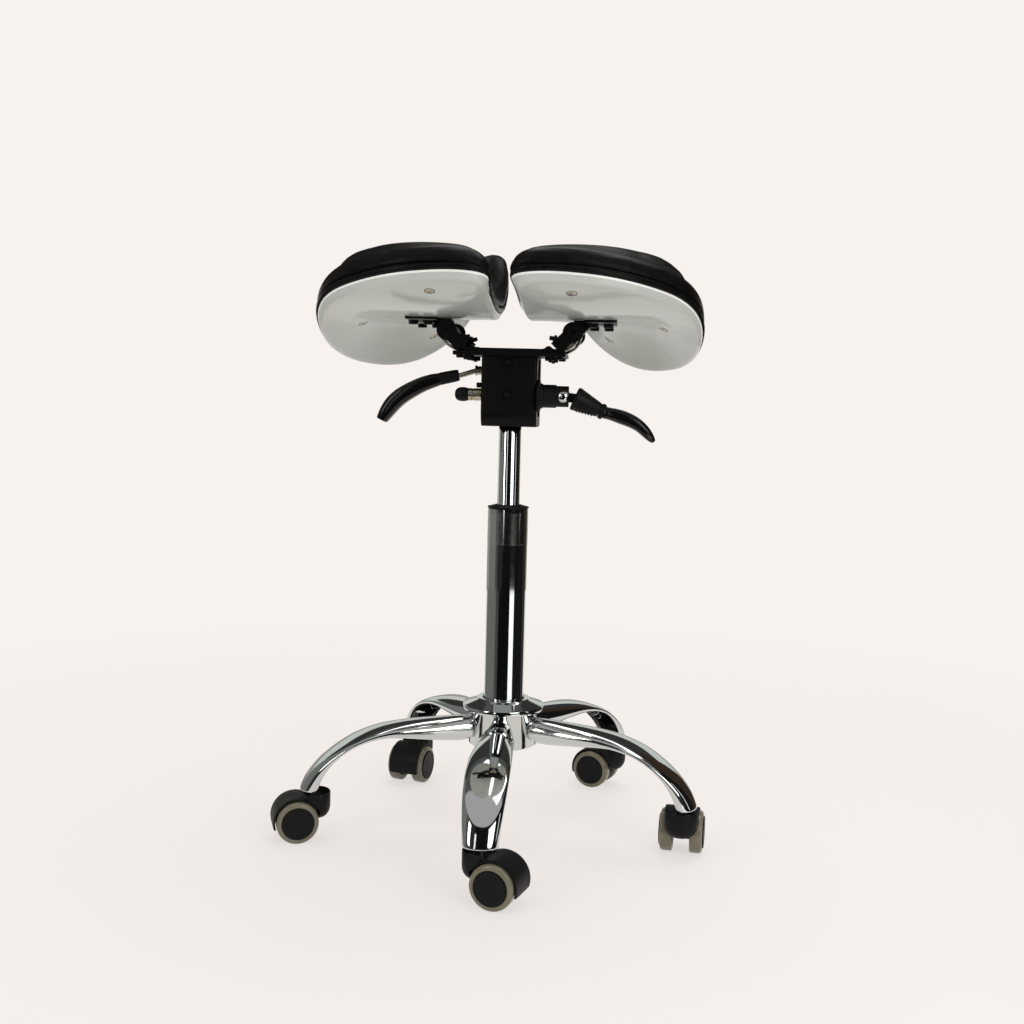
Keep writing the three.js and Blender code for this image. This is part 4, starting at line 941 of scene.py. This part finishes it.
# %% [markdown]
# ## Seat pans and boards
# Each half is a shell of white ABS under a board that is wrapped in tight leather. The CAD solids
# give their shape, with few and flat faces, so their triangles are joined to quads and a subdivision
# surface rounds them. A subdivision surface draws in from its cage, so the cage is pushed out until
# the smooth surface comes back to the CAD solid's own corners. The pan's rim is what lies just below
# the board: a ray that is shot upwards from such a face soon meets it.

# %% Rounded shells
def joined_to_quads(node):
    bm = copied(node, flat=0)
    bmesh.ops.join_triangles(bm, faces=bm.faces, angle_face_threshold=math.radians(60),
                             angle_shape_threshold=math.radians(80))
    return bm


def finished(thing):
    """The thing as its modifiers leave it."""
    return thing.evaluated_get(bpy.context.evaluated_depsgraph_get())


def surface_of(thing):
    return BVHTree.FromObject(thing, bpy.context.evaluated_depsgraph_get())


CAGE_SHARE = 0.6        # of the gap that is left, in each round; a whole one would overshoot


def pushed_out(piece, rounds=3):
    """Moves the cage of a subdivided piece so that the smooth surface meets the cage's first corners."""
    corners = [v.co.copy() for v in piece.data.vertices]
    for _ in range(rounds):
        smooth = finished(piece).data
        drawn_in = [smooth.vertices[i].co.copy() for i in range(len(corners))]
        for v, corner, now in zip(piece.data.vertices, corners, drawn_in):
            v.co += (corner - now) * CAGE_SHARE
        piece.data.update()
        bpy.context.view_layer.update()


# %% Pans and boards
RIM_REACH = 3 * MM      # the pan's rim, which gets a painted highlight, lies this near below the board
RIM_STEEP, RIM_UP = 0.85, 0.3       # a rim face is neither level nor does it look upwards
pans = {}
for hand in ("right", "left"):
    for layer, finish, slot in (("pan", white_abs_painted_shade, "white_pan"), ("board", tight_leather, "wrapped_board")):
        shell = make_piece(f"{layer}_shell_{hand}", joined_to_quads(f"seat_{layer}_{hand}"), f"seat_half_{hand}",
                           finish, replaces=[f"seat_{layer}_{hand}"], levels=2)
        if layer == "pan":
            pans[hand] = shell
            # The rim's faces get this second finish, a painted highlight.
            shell.data.materials.append(rim_painted_highlight_abs)
            board_below = bmesh.new()
            board_below.from_mesh(frame["nodes"][f"seat_board_{hand}"].data)
            near_board = BVHTree.FromBMesh(board_below)
            rim = [f for f in shell.data.polygons if abs(f.normal.z) < RIM_STEEP and f.normal.z < RIM_UP
                   and (near_board.ray_cast(f.center, Vector((0, 0, 1)))[3] or 1) < RIM_REACH]
            board_below.free()
            for face in rim:
                face.material_index = 1
            print("rim faces", len(rim), "of", len(shell.data.polygons))
        pushed_out(shell)

# %% [markdown]
# ## Pan screws
# Three cross-recess screws hold each pan to its board. A screw's head starts as a grid that is drawn
# into a disc, so two rows of its faces lie in a cross, and these are pushed in for the recess. A thin
# black ring round the head and a black cross in its recess are painted shade: the shadow in the gap
# round the sunk head and the dark inside the recess. Each head sits where a ray that is shot upwards
# meets the pan.

# %% Screws
SCREW_RADIUS, SCREW_CROWN, RECESS = 5.2, 1.3, 1.6
GRID = 11               # faces along a screw head's grid
ARM, ARM_REACH = 1.2 / GRID, 0.62      # half the cross's width and its reach, as shares of the radius
SKIRT = 2.2             # how far the head reaches into the pan
SUNK = 0.3
# Painted shade: a black ring for the shadow in the gap round each head and a black cross for the shadow in its
# recess.
HEAD_SHADE_RING = ((5.1, -0.6), (6.2, -0.6), (6.2, 0.4), (5.9, 0.6), (5.3, 0.4), (5.1, -0.6))
RECESS_SHADE_BAR = ((-3, -0.2, 0.8, 1.7), (3, -0.2, 0.8, 1.7))
SCREW_PLACES = ((78.5, -164.7), (184.2, -12.1), (117.6, 128.5))      # right half, from the column


def cross_screw():
    bm = bmesh.new()
    bmesh.ops.create_grid(bm, x_segments=GRID, y_segments=GRID, size=SCREW_RADIUS * MM)
    for v in bm.verts:
        reach, span = max(abs(v.co.x), abs(v.co.y)), math.hypot(v.co.x, v.co.y)
        if span:
            v.co *= reach / span
        v.co.z = SCREW_CROWN * MM * (1 - (v.co.length / (SCREW_RADIUS * MM)) ** 2)
    arm, reach = SCREW_RADIUS * MM * ARM, SCREW_RADIUS * MM * ARM_REACH
    centre = [f.calc_center_median() for f in bm.faces]
    slot = [f for f, c in zip(bm.faces, centre)
            if min(abs(c.x), abs(c.y)) < arm and max(abs(c.x), abs(c.y)) < reach]
    pushed = bmesh.ops.extrude_face_region(bm, geom=slot)["geom"]
    bmesh.ops.delete(bm, geom=slot, context="FACES")
    bmesh.ops.translate(bm, verts=verts_of(pushed), vec=(0, 0, -RECESS * MM))
    rim = [e for e in bm.edges if e.is_boundary and e.verts[0].co.xy.length > 0.9 * SCREW_RADIUS * MM]
    skirt = bmesh.ops.extrude_edge_only(bm, edges=rim)["geom"]
    bmesh.ops.translate(bm, verts=verts_of(skirt), vec=(0, 0, -SKIRT * MM))
    bmesh.ops.holes_fill(bm, edges=edges_of(skirt))
    return bm


for hand, mirror_x in (("right", 1), ("left", -1)):
    pan_surface = surface_of(pans[hand])
    heads, shade_marks = [], []
    for i, (x, y) in enumerate(SCREW_PLACES):
        start = column_foot + Vector((x * mirror_x, y, 400)) * MM
        hit, normal, _, _ = pan_surface.ray_cast(start, Vector((0, 0, 1)))
        normal = normal if normal.z < 0 else -normal
        stand = Matrix.Translation(hit - column_foot - normal * SUNK * MM)
        stand = stand @ facing(normal) @ Matrix.Rotation(0.6 + 1.1 * i, 4, "Z")
        heads.append(placed(cross_screw(), stand))
        cross = [placed(bar(RECESS_SHADE_BAR, 0, 4), Matrix.Rotation(turn, 4, "Z")) for turn in (0, math.pi / 2)]
        shade_marks.append(placed(joined(turned(HEAD_SHADE_RING, 32), *cross), stand))
    make_piece(f"pan_screws_{hand}", joined(*heads), f"seat_half_{hand}", zinc_plate, sharp=25)
    # The black ring and cross of each screw are painted shade round the head and in its recess.
    make_piece(f"pan_screw_painted_shade_{hand}", joined(*shade_marks), f"seat_half_{hand}", moulded_nylon)
print("pan screws", len(SCREW_PLACES) * 2)

# %% [markdown]
# ## Cushions
# A cushion is foam under leather, so its cover is tight and slightly swollen. The CAD solid gives the
# start shape, whose crown is lifted at the outer side and lowered at the inner one, as it is on the
# real seat. A voxel remesh gives it even faces, and it is drawn in by the amount it will swell. The
# Cloth modifier then blows it up with a gentle pressure and no gravity. No point may move further than
# a small cap, and near the board the cover is drawn in less, moves less and at last not at all. The
# moves are averaged with their neighbours', which evens out creases.

# %% Cushions
VOXEL = 4.5 * MM
DRAWN_IN = 2.2 * MM
SWELL_CAP = 4.5 * MM
PRESSURE = 4
SWELL_FRAMES = 20
EVENING_ROUNDS = 12     # how often each move is averaged with its neighbours'
HOLD_BACK = 3           # a point whose looseness times this is below 1 is held back in each round too
CROWN = ((8, -6), (40, -4), (80, 0), (120, 1.5), (170, 3), (215, 3), (240, 2))    # across the seat: lift
HOLD = 12 * MM          # below this gap to the board the cover moves less and less


def crowned(x):
    """The lift of the cushion's top at a distance from the stool's middle."""
    for (near, low), (far, high) in zip(CROWN, CROWN[1:]):
        if x <= far:
            return low + (high - low) * max(0, x - near) / (far - near)
    return high


def looseness(point, board_surface):
    """From 0 where the cover lies on its board to 1 well above it."""
    gap = min(1, board_surface.find_nearest(point)[3] / HOLD)
    return gap * gap * (3 - 2 * gap)


def even_mesh(piece):
    """The piece's final shape as a voxel mesh, in a loose object of its own."""
    loose = bpy.data.objects.new("stuffing", bpy.data.meshes.new_from_object(finished(piece)))
    scene.collection.objects.link(loose)
    remesh = loose.modifiers.new("even", "REMESH")
    remesh.mode, remesh.voxel_size = "VOXEL", VOXEL
    even = bpy.data.meshes.new_from_object(finished(loose))
    loose.modifiers.clear()
    loose.data = even
    return loose


# %% Blowing a cushion up
def blown_up(loose):
    """Where a cloth simulation with an inner pressure leaves the points of a loose mesh."""
    cloth = loose.modifiers.new("swell", "CLOTH")
    cloth.settings.use_pressure = True
    cloth.settings.uniform_pressure_force = PRESSURE
    cloth.settings.effector_weights.gravity = 0
    cloth.point_cache.frame_start, cloth.point_cache.frame_end = 1, SWELL_FRAMES
    for frame_number in range(1, SWELL_FRAMES + 1):
        scene.frame_set(frame_number)
    ends = [v.co.copy() for v in finished(loose).data.vertices]
    loose.modifiers.clear()
    return ends


def evened(moves, edges, slack):
    """The moves, averaged again and again along the mesh's edges."""
    for _ in range(EVENING_ROUNDS):
        sums, counts = [m.copy() for m in moves], [1] * len(moves)
        for a, b in edges:
            sums[a] += moves[b]
            sums[b] += moves[a]
            counts[a] += 1
            counts[b] += 1
        moves = [total / count * min(1, share * HOLD_BACK) for total, count, share in zip(sums, counts, slack)]
    return moves


def swollen(piece, board_surface):
    """Replaces the piece's mesh by the same shape, swollen by a cloth simulation."""
    loose = even_mesh(piece)
    points = loose.data.vertices
    slack = [looseness(v.co, board_surface) for v in points]
    for v, normal, share in zip(points, [n.vector.copy() for n in loose.data.vertex_normals], slack):
        v.co -= normal * DRAWN_IN * share
    start = [v.co.copy() for v in points]
    moves = []
    for first, last, share in zip(start, blown_up(loose), slack):
        move = last - first
        moves.append(move * min(1, SWELL_CAP / max(move.length, 1e-9)) * share)
    moves = evened(moves, [tuple(e.vertices) for e in loose.data.edges], slack)
    for v, first, move in zip(loose.data.vertices, start, moves):
        v.co = first + move
    old, piece.data = piece.data, loose.data
    piece.data.materials.clear()
    piece.data.materials.append(old.materials[0])
    piece.data.polygons.foreach_set("use_smooth", [True] * len(piece.data.polygons))
    bpy.data.objects.remove(loose)
    bpy.data.meshes.remove(old)
    piece.modifiers["smooth"].levels = piece.modifiers["smooth"].render_levels = 1
    scene.frame_set(1)
    farthest = max(m.length for m in moves)
    print(piece.name, "faces", len(piece.data.polygons), "moved up to", round(farthest / MM, 1), "mm")

# %% Both cushions
for hand in ("right", "left"):
    cover = make_piece(f"cushion_{hand}", joined_to_quads(f"seat_cushion_{hand}"), f"seat_half_{hand}",
                       cushion_leather, replaces=[f"seat_cushion_{hand}"], levels=2)
    pushed_out(cover)
    board_surface = surface_of(bpy.data.objects[f"board_shell_{hand}"])
    for v in cover.data.vertices:
        lift = crowned(abs(v.co.x - column_foot.x) / MM) * MM
        v.co.z += lift * looseness(v.co, board_surface)
    swollen(cover, board_surface)

# %% Finish of the CAD nodes that stay
finish_of_slot = {"chrome": chrome_plate, "black_plastic": moulded_nylon, "tread": tread_polyurethane,
                  "steel": bare_steel, "zinc": zinc_plate, "black_steel": powder_coat,
                  "white_pan": white_abs_painted_shade, "wrapped_board": tight_leather, "cushion_cover": cushion_leather}
for part in frame["record"]["subparts"]:
    node = frame["nodes"][part["node"]]
    node.data.materials.clear()
    node.data.materials.append(finish_of_slot[part["material_slot"]])
print("nodes still shown", sorted(n for n, thing in frame["nodes"].items() if not thing.hide_render))
